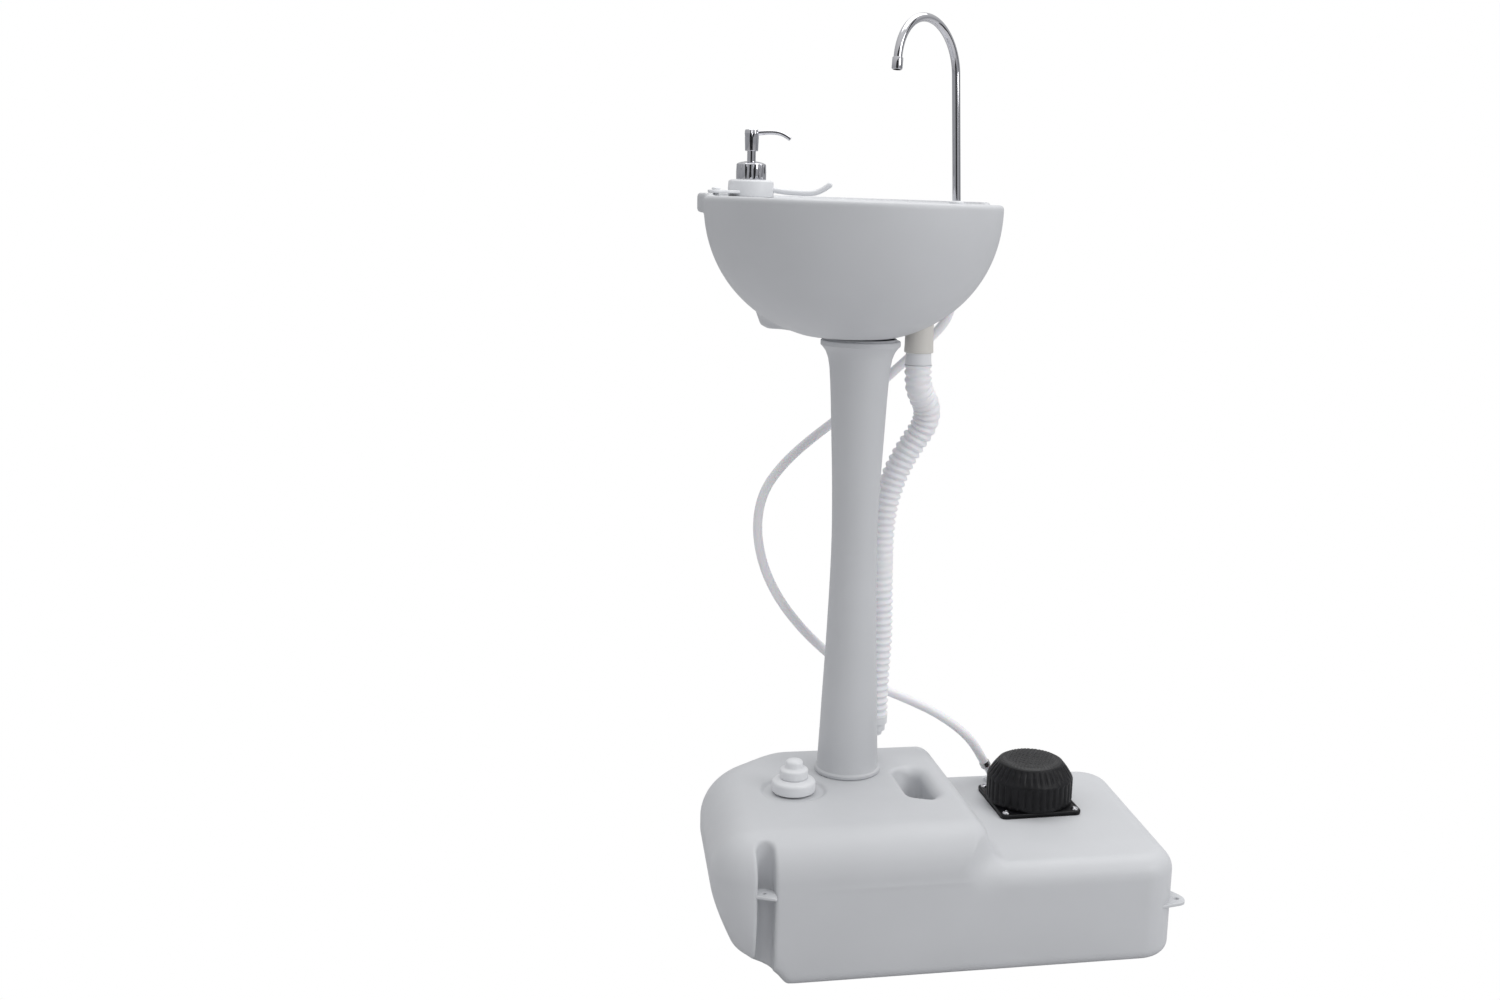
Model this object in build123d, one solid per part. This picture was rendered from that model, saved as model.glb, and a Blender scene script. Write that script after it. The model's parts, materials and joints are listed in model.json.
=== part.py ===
from build123d import *
from math import atan2, degrees, pi, radians, tan
import os

# Portable handwash sink. Millimetres, +Z up, origin on the floor under the column's axis,
# +X towards the foot pump, -Y towards the person washing.

# ---- driving dimensions -------------------------------------------------------------------
WALL = 3.0                      # blow-moulded wall thickness

# water tank (the base)
TANK_X0 = -185.0                # left side
TANK_X1 = 340.0                 # right side, at the pump end
TANK_Y0 = -212.0                # front
TANK_Y1 = 80.0                  # back
TALL_TOP = 165.0                # top of the tall block under the column
LOW_TOP = 122.0                 # top of the low block under the pump
STEP_X = 117.0                  # top edge of the step between the blocks
STEP_RUN = 15.0                 # how far the step's face leans out
FOOT_X0 = -143.0                # where the leaning left side meets the floor
BULGE_Z = 104.0                 # height where the left side is widest

# column and basin
COLUMN_TOP = 681.0
BASIN_X = -12.0
BASIN_Y = 3.0
BASIN_R = 167.0
RIM_TOP = 834.0
LIP_R = 174.0
LIP_Z0 = 816.0
LIP_TOP = 837.0
BOWL_X = -12.0
BOWL_Y = -31.0
BOWL_R = 118.0                  # mouth of the inner bowl
BOWL_FLOOR = 722.0
SUMP_X = 35.0                   # middle of the inner bowl's floor
SUMP_Y = -5.0
SUMP_R = 60.0

# fittings
CAP_X = -75.0
CAP_Y = -53.0
PUMP_X = 221.5
PUMP_Y = -29.0
DRAIN_X = 71.5
DRAIN_Y = 10.5
FAUCET_X = 124.0
FAUCET_Y = 60.0
SOAP_X = -117.0
SOAP_Y = 75.0
OUTLET_X = 197.66
OUTLET_Y = 46.41
OUTLET_REACH = 13.0            # from the outlet's elbow to where the hose starts
BARB_R = 3.9
BARB_BORE = 2.8

HOSE_D = 11.0                   # clean water hose
DRAIN_HOSE_D = 32.0             # corrugated drain hose

FIT = 0.05                      # radial clearance of a running fit
GAP = 0.3                       # clearance between curved faces that only lie side by side

os.makedirs("parts", exist_ok=True)


# ---- helpers ------------------------------------------------------------------------------
def save(shape, name):
    """Write one node."""
    export_step(shape, f"parts/{name}.step")


def rod(radius, z0, z1, x=0.0, y=0.0):
    """Upright cylinder between two heights."""
    return Pos(x, y, (z0 + z1) / 2) * Cylinder(radius, z1 - z0)


def ring(r_out, r_in, z0, z1, x=0.0, y=0.0):
    """Upright tube between two heights."""
    return rod(r_out, z0, z1, x, y) - rod(r_in, z0 - 1, z1 + 1, x, y)


def turned(points, x=0.0, y=0.0):
    """Solid of revolution about an upright axis, from (radius, height) points."""
    face = make_face(Polyline([(r, 0, z) for r, z in points], close=True))
    return Pos(x, y, 0) * revolve(face, Axis.Z)


def smooth_turned(profile, x=0.0, y=0.0):
    """Solid of revolution whose side is one spline through (radius, height) points."""
    side = Spline([(r, 0, z) for r, z in profile])
    low = profile[0]
    high = profile[-1]
    edges = [side, Line((high[0], 0, high[1]), (0, 0, high[1])),
             Line((0, 0, high[1]), (0, 0, low[1])), Line((0, 0, low[1]), (low[0], 0, low[1]))]
    return Pos(x, y, 0) * revolve(make_face(edges), Axis.Z)


def along(points, radii, section_r, hole_r=0.0):
    """Tube along straight runs joined by tangent arcs."""
    path = FilletPolyline(*points, radius=radii) if len(points) > 2 else Line(*points)
    start = Plane(origin=path @ 0, z_dir=path % 0)
    body = sweep(start * Circle(section_r), path=path)
    if hole_r:
        body -= sweep(start * Circle(hole_r), path=path)
    return body, path.length


def corner_radii(points, share=0.45):
    """Largest gentle arc at each inner corner of a route."""
    radii = []
    for before, here, after in zip(points, points[1:], points[2:]):
        run_in = Vector(*here) - Vector(*before)
        run_out = Vector(*after) - Vector(*here)
        turn = run_in.get_angle(run_out)
        radii.append(share * min(run_in.length, run_out.length) / tan(radians(turn / 2)))
    return radii


def coil_spring(radius, wire_r, z0, z1, turns, x, y):
    """Compression spring standing on its axis, ends one wire radius inside its seats."""
    height = z1 - z0 - 2 * wire_r
    helix = Helix(pitch=height / turns, height=height, radius=radius)
    section = Plane(origin=helix @ 0, z_dir=helix % 0) * Circle(wire_r)
    return Pos(x, y, z0 + wire_r) * sweep(section, path=helix, is_frenet=True)


def hex_ring(across_flats, r_in, z0, z1, x, y):
    """Hexagonal nut with a plain bore."""
    blank = extrude(RegularPolygon(across_flats / 2, 6, major_radius=False), z1 - z0)
    return Pos(x, y, z0) * blank - rod(r_in, z0 - 1, z1 + 1, x, y)


def ribbed(radius, depth, count, z0, z1, x, y):
    """Round grip with upright flutes cut into it."""
    body = rod(radius, z0, z1, x, y)
    flute_r = pi * radius / count * 0.42
    for place in PolarLocations(radius + flute_r - depth, count):
        body -= Pos(x, y, z0) * place * Pos(0, 0, (z1 - z0) / 2) * Cylinder(flute_r, z1 - z0 + 2)
    return body


# ---- water tank ---------------------------------------------------------------------------
def rounded_outline(x0, y0, x1, y1, r_front_left, r_front_right, r_back_right, r_back_left):
    """Rectangle in plan with its own radius at each corner."""
    outline = Rectangle(x1 - x0, y1 - y0, align=(Align.MIN, Align.MIN))
    outline = Pos(x0, y0) * outline
    radii = {(x0, y0): r_front_left, (x1, y0): r_front_right,
             (x1, y1): r_back_right, (x0, y1): r_back_left}
    for (x, y), r in radii.items():
        corner = outline.vertices().sort_by_distance((x, y, 0))[0]
        outline = fillet(corner, r)
    return outline


def rounded_prism(points, radii, normal_plane, length, start):
    """Prism whose cross-section is a polygon with a radius at each corner."""
    section = make_face(Polyline([(a, b) for a, b in points], close=True))
    for (a, b), r in zip(points, radii):
        if r > 0:
            section = fillet(section.vertices().sort_by_distance((a, b, 0))[0], r)
    return extrude(normal_plane.offset(start) * section, length)


def tank_blocks(inset):
    """Both blocks of the tank as one solid, every face moved inwards by the inset."""
    x0, x1 = TANK_X0 + inset, TANK_X1 - inset
    y0, y1 = TANK_Y0 + inset, TANK_Y1 - inset
    base = inset
    step_top = STEP_X - inset
    step_foot = STEP_X + STEP_RUN - inset
    foot = FOOT_X0 + inset
    across = Plane.XZ                       # local x is +X, local y is +Z, normal is -Y
    endways = Plane.YZ                      # local x is +Y, local y is +Z, normal is +X
    depth = y1 - y0

    tall = extrude(Pos(0, 0, base) * rounded_outline(x0, y0, step_foot, y1, 30, 45, 12, 85),
                   TALL_TOP - inset - base)
    side = [(foot, base), (step_foot, base), (step_foot, LOW_TOP - inset),
            (step_top, TALL_TOP - inset), (x0, TALL_TOP - inset), (x0, BULGE_Z)]
    tall &= rounded_prism(side, [14, 0, 0, 13, 44, 60], across, depth, -y1)
    end = [(y0, base), (y1, base), (y1, TALL_TOP - inset), (y0, TALL_TOP - inset)]
    tall &= rounded_prism(end, [14, 14, 22, 44], endways, step_foot - x0, x0)

    low = extrude(Pos(0, 0, base) * rounded_outline(x0, y0, x1, y1, 30, 40, 40, 85),
                  LOW_TOP - inset - base)
    low = fillet(low.edges().group_by(Axis.Z)[-1], 21)
    low = fillet(low.edges().group_by(Axis.Z)[0], 14)
    lean = [(x0 - 5, base - 5), (foot, base - 5), (foot, base), (x0, BULGE_Z), (x0 - 5, BULGE_Z)]
    low -= rounded_prism(lean, [0, 0, 0, 0, 0], across, depth + 20, -y1 - 10)
    return tall + low


def slot_block(x, y, width, length, z0, z1):
    """Upright block with a slot outline, long in Y."""
    return Pos(x, y, z0) * extrude(Rot(0, 0, 90) * SlotOverall(length, width), z1 - z0)


HANDLE_X = 68.0
HANDLE_Y = -56.0
HANDLE_WIDTH = 34.0
HANDLE_LENGTH = 94.0
HANDLE_FLOOR = 104.0
UNDERCUT = 9.0                  # the fingers' room under the grip bar
DISH_R = 37.0
DISH_DEPTH = 3.0
NECK_R = 20.5
NECK_TOP = 176.0
SOCKET_R = 33.8
LUG_THICK = 5.0
LUG_HOLE_R = 3.0


def handle_pocket(grow):
    """The carrying handle's pocket, grown by a wall thickness."""
    pocket = slot_block(HANDLE_X, HANDLE_Y, HANDLE_WIDTH + 2 * grow, HANDLE_LENGTH + 2 * grow,
                        HANDLE_FLOOR - grow, TALL_TOP + 1)
    under = slot_block(HANDLE_X + UNDERCUT, HANDLE_Y, HANDLE_WIDTH + 2 * grow,
                       HANDLE_LENGTH - 16 + 2 * grow, HANDLE_FLOOR - grow, TALL_TOP - 22 + grow)
    return pocket + under


def tank():
    """Hollow tank with its neck, handle pocket, column boss, pump hole and two lugs."""
    outer = tank_blocks(0)
    groove = Pos(TANK_X0 + 49, TANK_Y0 + 6, 98) * Cylinder(9, 128)
    groove += Pos(TANK_X0 + 49, TANK_Y0 - 3, 98) * Box(18, 18, 128)
    outer -= groove
    dish = Pos(CAP_X, CAP_Y, TALL_TOP - DISH_DEPTH / 2) * Cone(DISH_R - 6, DISH_R, DISH_DEPTH)
    inner = tank_blocks(WALL)
    inner -= Pos(CAP_X, CAP_Y, TALL_TOP - DISH_DEPTH - WALL) * Cylinder(DISH_R + WALL, 2 * WALL)
    inner -= Pos(TANK_X0 + 49, TANK_Y0 + 6, 98) * Cylinder(9 + WALL, 128 + 2 * WALL)
    inner -= handle_pocket(WALL)
    body = outer - dish - inner
    body -= handle_pocket(0)
    body += ring(NECK_R, NECK_R - WALL, TALL_TOP - DISH_DEPTH - WALL, NECK_TOP, CAP_X, CAP_Y)
    body -= rod(NECK_R - WALL, 150, 200, CAP_X, CAP_Y)
    body += ring(SOCKET_R, SOCKET_R - WALL, TALL_TOP - 1, TALL_TOP + 12)
    body -= rod(PUMP_HOLE_R, 100, 140, PUMP_X, PUMP_Y)
    body -= rod(OUTLET_R + FIT, 100, 140, OUTLET_X, OUTLET_Y)
    for place in screw_places():
        body -= place * Pos(0, 0, 120) * Cylinder(SCREW_R - 0.2, 14)
    return body + groove_lug() + corner_lug()


def lug_plate(points, hole, z):
    """Flat moulded ear with one hole."""
    plate = make_face(Polyline([(x, y) for x, y in points], close=True))
    plate = extrude(Pos(0, 0, z - LUG_THICK / 2) * plate, LUG_THICK)
    return plate - Pos(hole[0], hole[1], z) * Cylinder(LUG_HOLE_R, LUG_THICK + 2)


def groove_lug():
    """Ear across the groove in the front left corner."""
    points = [(-145, -204), (-127, -210), (-127, -196), (-133, -192), (-146, -193)]
    return lug_plate(points, (-134, -200), 107)


def corner_lug():
    """Ear on the front right corner, swept back to a rounded tip."""
    x, y = 345.0, -195.0
    points = [(309, -209), (x + 3, y - 9.5), (x + 8, y - 7), (x + 10, y - 1), (x + 9, y + 8), (x - 1, y + 25),
              (336, -165), (325, -190)]
    return lug_plate(points, (x, y), 62)


# ---- foot pump ----------------------------------------------------------------------------
PUMP_HOLE_R = 36.0
FLANGE_HALF = 50.0
FLANGE_THICK = 4.0
GASKET_THICK = 1.5
BOOT_R = 52.0
BOOT_TOP = 176.0
TREAD_TOP = 182.0
TREAD_R = 37.5
CYLINDER_R = 31.0
CYLINDER_FLOOR = 72.0
SCREW_R = 2.5
SCREW_PITCH = 43.0
OUTLET_R = 5.0
FLANGE_TOP = LOW_TOP + GASKET_THICK + FLANGE_THICK


def screw_places():
    """The four flange screws."""
    return [Pos(PUMP_X + sx * SCREW_PITCH, PUMP_Y + sy * SCREW_PITCH, 0)
            for sx in (-1, 1) for sy in (-1, 1)]


def flange_sheet(half, thick, z, hole_r):
    """Square plate with rounded corners, a round hole and four screw holes."""
    plate = extrude(Pos(0, 0, z) * RectangleRounded(2 * half, 2 * half, 8), thick)
    plate = Pos(PUMP_X, PUMP_Y, 0) * plate - rod(hole_r, z - 1, z + thick + 1, PUMP_X, PUMP_Y)
    for place in screw_places():
        plate -= place * Pos(0, 0, z + thick / 2) * Cylinder(SCREW_R + 0.2, thick + 2)
    return plate


def pump_boot():
    """Rubber bellows: ribbed wall, sloping fluted shoulder, open at the top for the tread."""
    wall = 3.0
    z0 = FLANGE_TOP
    profile = [(BOOT_R - 4, z0), (BOOT_R, z0 + 3), (BOOT_R, 156), (BOOT_R - 2.5, 162), (BOOT_R - 8, 168),
               (TREAD_R + 1, BOOT_TOP), (TREAD_R - 6, BOOT_TOP), (TREAD_R - 6, BOOT_TOP - wall),
               (TREAD_R - 1, BOOT_TOP - wall), (BOOT_R - 10, 164), (BOOT_R - wall - 2, 159),
               (BOOT_R - wall - 1, 154), (BOOT_R - wall - 1, z0 + 4), (BOOT_R - 7, z0)]
    boot = turned(profile, PUMP_X, PUMP_Y)
    flutes = 36
    for place in PolarLocations(BOOT_R + 0.6, flutes):
        groove = place * Pos(0, 0, 144) * Cylinder(1.7, 26)
        boot -= Pos(PUMP_X, PUMP_Y, 0) * groove
    return boot


def pump_tread():
    """Convex pedal disc with raised dots."""
    base = BOOT_TOP + 0.01
    crown = turned([(0, base), (TREAD_R, base), (TREAD_R, base + 2), (TREAD_R - 3, base + 3.5),
                    (TREAD_R - 14, TREAD_TOP - 1.2), (0, TREAD_TOP - 0.5)], PUMP_X, PUMP_Y)
    for radius, count in ((8, 6), (16, 12), (24, 18)):
        top = TREAD_TOP - 0.5 - (radius / TREAD_R) ** 2 * 1.4
        for place in PolarLocations(radius, count):
            crown += Pos(PUMP_X, PUMP_Y, top - 0.6) * place * Cylinder(1.3, 2.4)
    return crown


def make_pump():
    """Foot pump: housing parts, pedal, piston, spring and valves."""
    save(flange_sheet(FLANGE_HALF, GASKET_THICK, LOW_TOP, PUMP_HOLE_R), "pump_gasket")
    save(flange_sheet(FLANGE_HALF, FLANGE_THICK, LOW_TOP + GASKET_THICK, CYLINDER_R + 2.5), "pump_flange")
    save(pump_boot(), "pump_boot")
    save(pump_tread(), "pump_tread")

    screws = []
    for place in screw_places():
        head = rod(4.2, FLANGE_TOP, FLANGE_TOP + 2.6) + rod(SCREW_R - 0.2, FLANGE_TOP - 14, FLANGE_TOP)
        head -= Pos(0, 0, FLANGE_TOP + 2.6) * Box(5, 1, 2)
        head -= Pos(0, 0, FLANGE_TOP + 2.6) * Box(1, 5, 2)
        screws.append(place * head)
    save(Compound(children=screws), "pump_screws")

    x, y = PUMP_X, PUMP_Y
    floor = CYLINDER_FLOOR
    cylinder = ring(CYLINDER_R, CYLINDER_R - 2.5, floor, FLANGE_TOP, x, y)
    cylinder += ring(CYLINDER_R + 5, CYLINDER_R - 2.5, FLANGE_TOP, FLANGE_TOP + 2.5, x, y)
    cylinder += rod(CYLINDER_R, floor - 3, floor, x, y)
    cylinder += ring(9, 6, floor - 18, floor - 3, x, y)
    cylinder -= rod(4, floor - 4, floor + 1, x, y)
    side_y = y + CYLINDER_R
    cylinder += Pos(x - 10, side_y + 4, floor + 6) * Rot(90, 0, 0) * Cylinder(6, 16)
    cylinder -= Pos(x - 10, side_y + 2, floor + 6) * Rot(90, 0, 0) * Cylinder(3.5, 24)
    cylinder -= rod(CYLINDER_R - 2.5, floor, FLANGE_TOP + 3, x, y)
    save(cylinder, "pump_cylinder")

    rod_low = FLANGE_TOP - 31.5
    piston = rod(6, rod_low + 6, BOOT_TOP, x, y)
    piston += rod(20, BOOT_TOP - 2.9, BOOT_TOP, x, y)
    piston += rod(CYLINDER_R - 4.0, rod_low, rod_low + 8, x, y)
    piston -= ring(CYLINDER_R, CYLINDER_R - 6.0, rod_low + 2.5, rod_low + 5.5, x, y)
    save(piston, "pump_piston")
    save(ring(CYLINDER_R - 2.5 - FIT, CYLINDER_R - 6.0, rod_low + 2.5, rod_low + 5.5, x, y), "piston_seal")
    guide_z = FLANGE_TOP + 2.5
    save(ring(CYLINDER_R + 5, 6 + FIT, guide_z, guide_z + 3, x, y), "pump_rod_guide")
    save(coil_spring(13, 1.2, guide_z + 3, BOOT_TOP - 2.9, 5.5, x, y), "pump_spring")

    save(Pos(x, y, floor - 7.5) * Sphere(4.8), "inlet_valve_ball")
    pickup = ring(6 - FIT, 4, 16, floor - 12.6, x, y)
    save(pickup, "pickup_tube")
    strainer = turned([(6, 20), (11, 14), (11, 5), (0, 5), (0, 7), (9, 7), (9, 13), (6, 16.5)], x, y)
    for place in PolarLocations(11, 10):
        strainer -= Pos(x, y, 10) * place * Box(6, 1.6, 5)
    save(strainer, "pickup_strainer")


def make_outlet():
    """Bulkhead barb behind the pump, and the link pipe inside the tank that feeds it."""
    x, y = OUTLET_X, OUTLET_Y
    tip = Vector(*WATER_ROUTE[0])
    axis = (Vector(*WATER_ROUTE[1]) - tip).normalized()
    elbow = tip - axis * OUTLET_REACH
    leaning = Plane(origin=elbow, z_dir=axis)
    barb = rod(OUTLET_R, LOW_TOP - 14, elbow.Z, elbow.X, elbow.Y) + Pos(*elbow) * Sphere(OUTLET_R)
    barb += hex_ring(17, OUTLET_R - 1, LOW_TOP, LOW_TOP + 3.5, elbow.X, elbow.Y)
    barb += extrude(leaning * Circle(BARB_R), OUTLET_REACH)
    barb -= extrude(leaning * Circle(BARB_BORE), OUTLET_REACH + 1)
    barb -= rod(BARB_BORE, LOW_TOP - 15, elbow.Z, elbow.X, elbow.Y) + Pos(*elbow) * Sphere(BARB_BORE)
    save(barb, "pump_outlet_barb")
    save(hex_ring(15, OUTLET_R, LOW_TOP - WALL - 5, LOW_TOP - WALL, x, y), "pump_outlet_nut")
    save(Pos(x, y, LOW_TOP - 19) * Sphere(3.4), "outlet_valve_ball")
    port = (PUMP_X - 10, PUMP_Y + CYLINDER_R + 12, CYLINDER_FLOOR + 6)
    route = [port, (port[0], y, port[2]), (x, y + 0.5, port[2] + 2), (x, y, LOW_TOP - 24)]
    pipe, _ = along(route, 5.0, 4.5, 3.2)
    cage = ring(5.4, 3.6, LOW_TOP - 24, LOW_TOP - 14, x, y)
    save(pipe + cage, "outlet_pipe")


# ---- filler -------------------------------------------------------------------------------
CAP_R = 25.0
CAP_Z0 = 163.5
CAP_Z1 = 179.0
KNOB_R = 16.5
KNOB_Z1 = 192.0
NUB_R = 10.0
NUB_Z1 = 203.0


def make_caps():
    """Screw cap on the filler neck, its seal, and the small vent cap on top of it."""
    cap = rod(CAP_R, CAP_Z0, CAP_Z1 - 2, CAP_X, CAP_Y)
    cap += Pos(CAP_X, CAP_Y, CAP_Z1 - 1) * Cone(CAP_R, CAP_R - 3, 2)
    cap -= rod(NECK_R + GAP, CAP_Z0 - 1, CAP_Z1 - WALL, CAP_X, CAP_Y)
    cap += ring(8.5, 6.0, CAP_Z1 - WALL, CAP_Z1 + 8, CAP_X, CAP_Y)
    cap -= rod(6.0, CAP_Z1 - WALL - 1, CAP_Z1 + 9, CAP_X, CAP_Y)
    save(cap, "filler_cap")
    save(ring(NECK_R - WALL - GAP, 10, NECK_TOP - 2, NECK_TOP, CAP_X, CAP_Y), "filler_cap_seal")
    vent = rod(KNOB_R, CAP_Z1 + 0.2, KNOB_Z1 - 1.5, CAP_X, CAP_Y)
    vent += Pos(CAP_X, CAP_Y, KNOB_Z1 - 0.75) * Cone(KNOB_R, KNOB_R - 2, 1.5)
    vent += rod(NUB_R, KNOB_Z1 - 1, NUB_Z1 - 3, CAP_X, CAP_Y)
    vent += Pos(CAP_X, CAP_Y, NUB_Z1 - 1.5) * Cone(NUB_R, NUB_R - 3.5, 3)
    vent -= rod(8.5 + GAP, CAP_Z1 - 1, CAP_Z1 + 8.5, CAP_X, CAP_Y)
    save(vent, "vent_cap")


# ---- column -------------------------------------------------------------------------------
COLUMN_SIDE = [(37.2, 168), (35.6, 190), (32.9, 253), (30.2, 314), (28.0, 375), (26.7, 430), (26.8, 470),
               (27.9, 515), (29.9, 560), (32.2, 610), (34.8, 648), (38.5, 662), (44.5, 672)]
COLUMN_WALL = 2.5


def column():
    """Hollow waisted column with a rolled foot and a flared head."""
    outer = smooth_turned(COLUMN_SIDE)
    outer += turned([(0, TALL_TOP), (37.0, TALL_TOP), (38.6, TALL_TOP + 1.5), (38.0, 168.5), (37.0, 169.5),
                     (0, 169.5)])
    outer += turned([(0, 671), (44.3, 671.8), (45.6, 674), (45.6, 678), (44.5, 679.2), (41, 679.2),
                     (41, COLUMN_TOP), (0, COLUMN_TOP)])
    inner = smooth_turned([(r - COLUMN_WALL, z) for r, z in COLUMN_SIDE])
    inner += turned([(0, TALL_TOP - 1), (34.2, TALL_TOP - 1), (34.2, TALL_TOP + 12.5), (33.4, 182), (0, 182)])
    inner += rod(38.0, 670, COLUMN_TOP + 1)
    return outer - inner


# ---- basin --------------------------------------------------------------------------------
BASIN_SIDE = [(58, 681.0), (72, 686.5), (86, 694.0), (109, 711.5), (124, 727), (141, 750.5), (155, 776),
              (163, 797), (166.5, 815), (167, 828)]
SPIGOT_R = 33.0
BUMP_X0, BUMP_X1 = -104.0, -50.0
BUMP_Y0, BUMP_Y1 = 24.0, 78.0
BUMP_Z = 688.0
SOAP_WELL_R = 24.5
SOAP_WELL_FLOOR = 778.0


def basin_body(inset):
    """Outer form of the basin, every face moved inwards by the inset."""
    side = [(r - inset, z + inset * 0.6) for r, z in BASIN_SIDE]
    form = smooth_turned(side, BASIN_X, BASIN_Y)
    top = side[-1][1]
    form += turned([(0, top - 0.5), (side[-1][0], top - 0.5), (side[-1][0], RIM_TOP - inset - 3),
                    (side[-1][0] - 3, RIM_TOP - inset), (0, RIM_TOP - inset)], BASIN_X, BASIN_Y)
    return form


def basin_bowl(grow):
    """The hollow that holds the water, leaning towards the drain."""
    sections = [(RIM_TOP + 1, BOWL_X, BOWL_Y, BOWL_R), (795, BOWL_X + 3, BOWL_Y + 2, BOWL_R - 4),
                (755, 8, -20, 97), (BOWL_FLOOR, SUMP_X, SUMP_Y, SUMP_R)]
    rings = [Pos(x, y, z - grow) * Circle(r + grow) for z, x, y, r in sections]
    bowl = loft(rings)
    if grow:
        bowl += rod(BOWL_R + grow, RIM_TOP - grow, RIM_TOP + 2, BOWL_X, BOWL_Y)
    return bowl


def basin_lip():
    """Rolled lip round the back half of the rim."""
    band = ring(LIP_R, BASIN_R - 3, LIP_Z0, LIP_TOP, BASIN_X, BASIN_Y)
    band = chamfer(band.edges().filter_by(GeomType.CIRCLE).group_by(SortBy.RADIUS)[-1], 3)
    front = Pos(BASIN_X, BASIN_Y - 200 + 30, (LIP_Z0 + LIP_TOP) / 2) * Box(500, 400, 60)
    return band - front


def bump(grow):
    """Moulded boss on the underside, back left."""
    x, y = (BUMP_X0 + BUMP_X1) / 2, (BUMP_Y0 + BUMP_Y1) / 2
    w, d = BUMP_X1 - BUMP_X0, BUMP_Y1 - BUMP_Y0
    low = Pos(x, y, BUMP_Z - grow) * RectangleRounded(w - 2 * grow, d - 2 * grow, 12 - grow)
    high = Pos(x - 6, y, 742) * RectangleRounded(w + 34 - 2 * grow, d + 26 - 2 * grow, 18 - grow)
    return loft([low, high])


def basin():
    """Double-walled basin with its bowl, deck, lip, underside boss and fitting holes."""
    outer = basin_body(0) + basin_lip() + bump(0)
    outer += ring(SPIGOT_R, SPIGOT_R - WALL, 662, 684)
    void = basin_body(WALL) - basin_bowl(WALL)
    void -= rod(DRAIN_BOSS_R, 670, 760, DRAIN_X, DRAIN_Y)
    void -= rod(13, 690, RIM_TOP, FAUCET_X, FAUCET_Y)
    void -= rod(SOAP_WELL_R + WALL, SOAP_WELL_FLOOR - WALL, RIM_TOP, SOAP_X, SOAP_Y)
    body = outer - void - basin_bowl(0)
    body -= rod(DRAIN_TAIL_R + FIT, 640, 760, DRAIN_X, DRAIN_Y)
    body -= rod(SHANK_R + FIT, 690, 850, FAUCET_X, FAUCET_Y)
    body -= rod(SOAP_WELL_R, SOAP_WELL_FLOOR, 850, SOAP_X, SOAP_Y)
    body -= rod(PEG_R + FIT, RIM_TOP - 12, 850, PEG_X, PEG_Y)
    body -= rod(20, 640, 681)
    return body


# ---- drain --------------------------------------------------------------------------------
DRAIN_BOSS_R = 20.0
DRAIN_TAIL_R = 13.0
DRAIN_NUT_R = 16.5
DRAIN_NUT_Z0 = 664.0
DRAIN_NUT_Z1 = 706.0
CUFF_Z0 = 650.0


def make_drain():
    """Strainer, gasket, threaded tail, collar, corrugated hose, its cuff and end fitting."""
    x, y = DRAIN_X, DRAIN_Y
    top = BOWL_FLOOR
    save(ring(19, DRAIN_TAIL_R, top, top + 1.5, x, y), "drain_gasket")
    strainer = turned([(0, top + 1.5), (19, top + 1.5), (19, top + 2.5), (16, top + 4), (0, top + 4)], x, y)
    for radius, count in ((4.5, 5), (9, 10)):
        for place in PolarLocations(radius, count):
            strainer -= Pos(x, y, top + 3) * place * Cylinder(1.2, 8)
    save(strainer, "drain_strainer")
    save(ring(DRAIN_TAIL_R, DRAIN_TAIL_R - 2, DRAIN_NUT_Z0 + 4, top + 1.5, x, y), "drain_tail")
    nut = ring(DRAIN_NUT_R, DRAIN_TAIL_R, DRAIN_NUT_Z0, DRAIN_NUT_Z1, x, y)
    save(nut - basin_body(0), "drain_collar")
    save(ring(15.0, 12.0, CUFF_Z0, DRAIN_NUT_Z0, x, y) + ring(12.95, 11.0, DRAIN_NUT_Z0, DRAIN_NUT_Z0 + 4, x, y),
         "drain_cuff")
    cord(DRAIN_ROUTE, DRAIN_HOSE_D, "drain_hose")
    end_x, end_y, end_z = DRAIN_ROUTE[-1]
    plug = ring(12.5, 8, end_z - 24, end_z - 6, end_x, end_y) + ring(9.5, 8, end_z - 6, end_z, end_x, end_y)
    save(plug, "drain_hose_end")


# ---- hoses that hang free ------------------------------------------------------------------
DRAIN_ROUTE = [(71.5, 10.5, 650.0), (71.5, 10.5, 632.0), (77.0, 15.5, 616.0), (89.0, 24.0, 599.0),
               (88.5, 30.5, 578.0), (76.0, 36.0, 556.0), (65.0, 39.5, 536.0), (54.0, 42.5, 509.0),
               (45.0, 44.5, 474.0), (42.5, 45.5, 426.0), (44.5, 46.0, 370.0), (46.0, 45.5, 314.0),
               (43.0, 45.3, 262.0), (43.0, 45.3, 216.0)]

WATER_ROUTE = [(191.5, 47.0, 139.5), (181.0, 48.0, 159.0), (168.0, 49.0, 177.5), (150.0, 51.5, 194.0),
               (124.0, 57.0, 211.5), (92.0, 66.0, 226.0), (56.0, 76.0, 240.0), (18.0, 74.0, 264.0),
               (-16.0, 68.0, 292.0), (-48.0, 64.0, 324.0), (-77.0, 62.0, 362.0), (-97.0, 63.0, 404.0),
               (-105.0, 65.0, 450.0), (-98.0, 66.0, 491.0), (-76.0, 69.0, 522.0), (-46.0, 73.0, 549.0),
               (-8.0, 76.0, 577.0), (32.0, 75.0, 610.0), (68.0, 69.0, 645.0), (98.0, 63.0, 675.0),
               (113.0, 60.8, 691.0), (121.0, 60.2, 706.0), (124.0, 60.0, 722.0), (124.0, 60.0, 738.0)]


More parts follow.
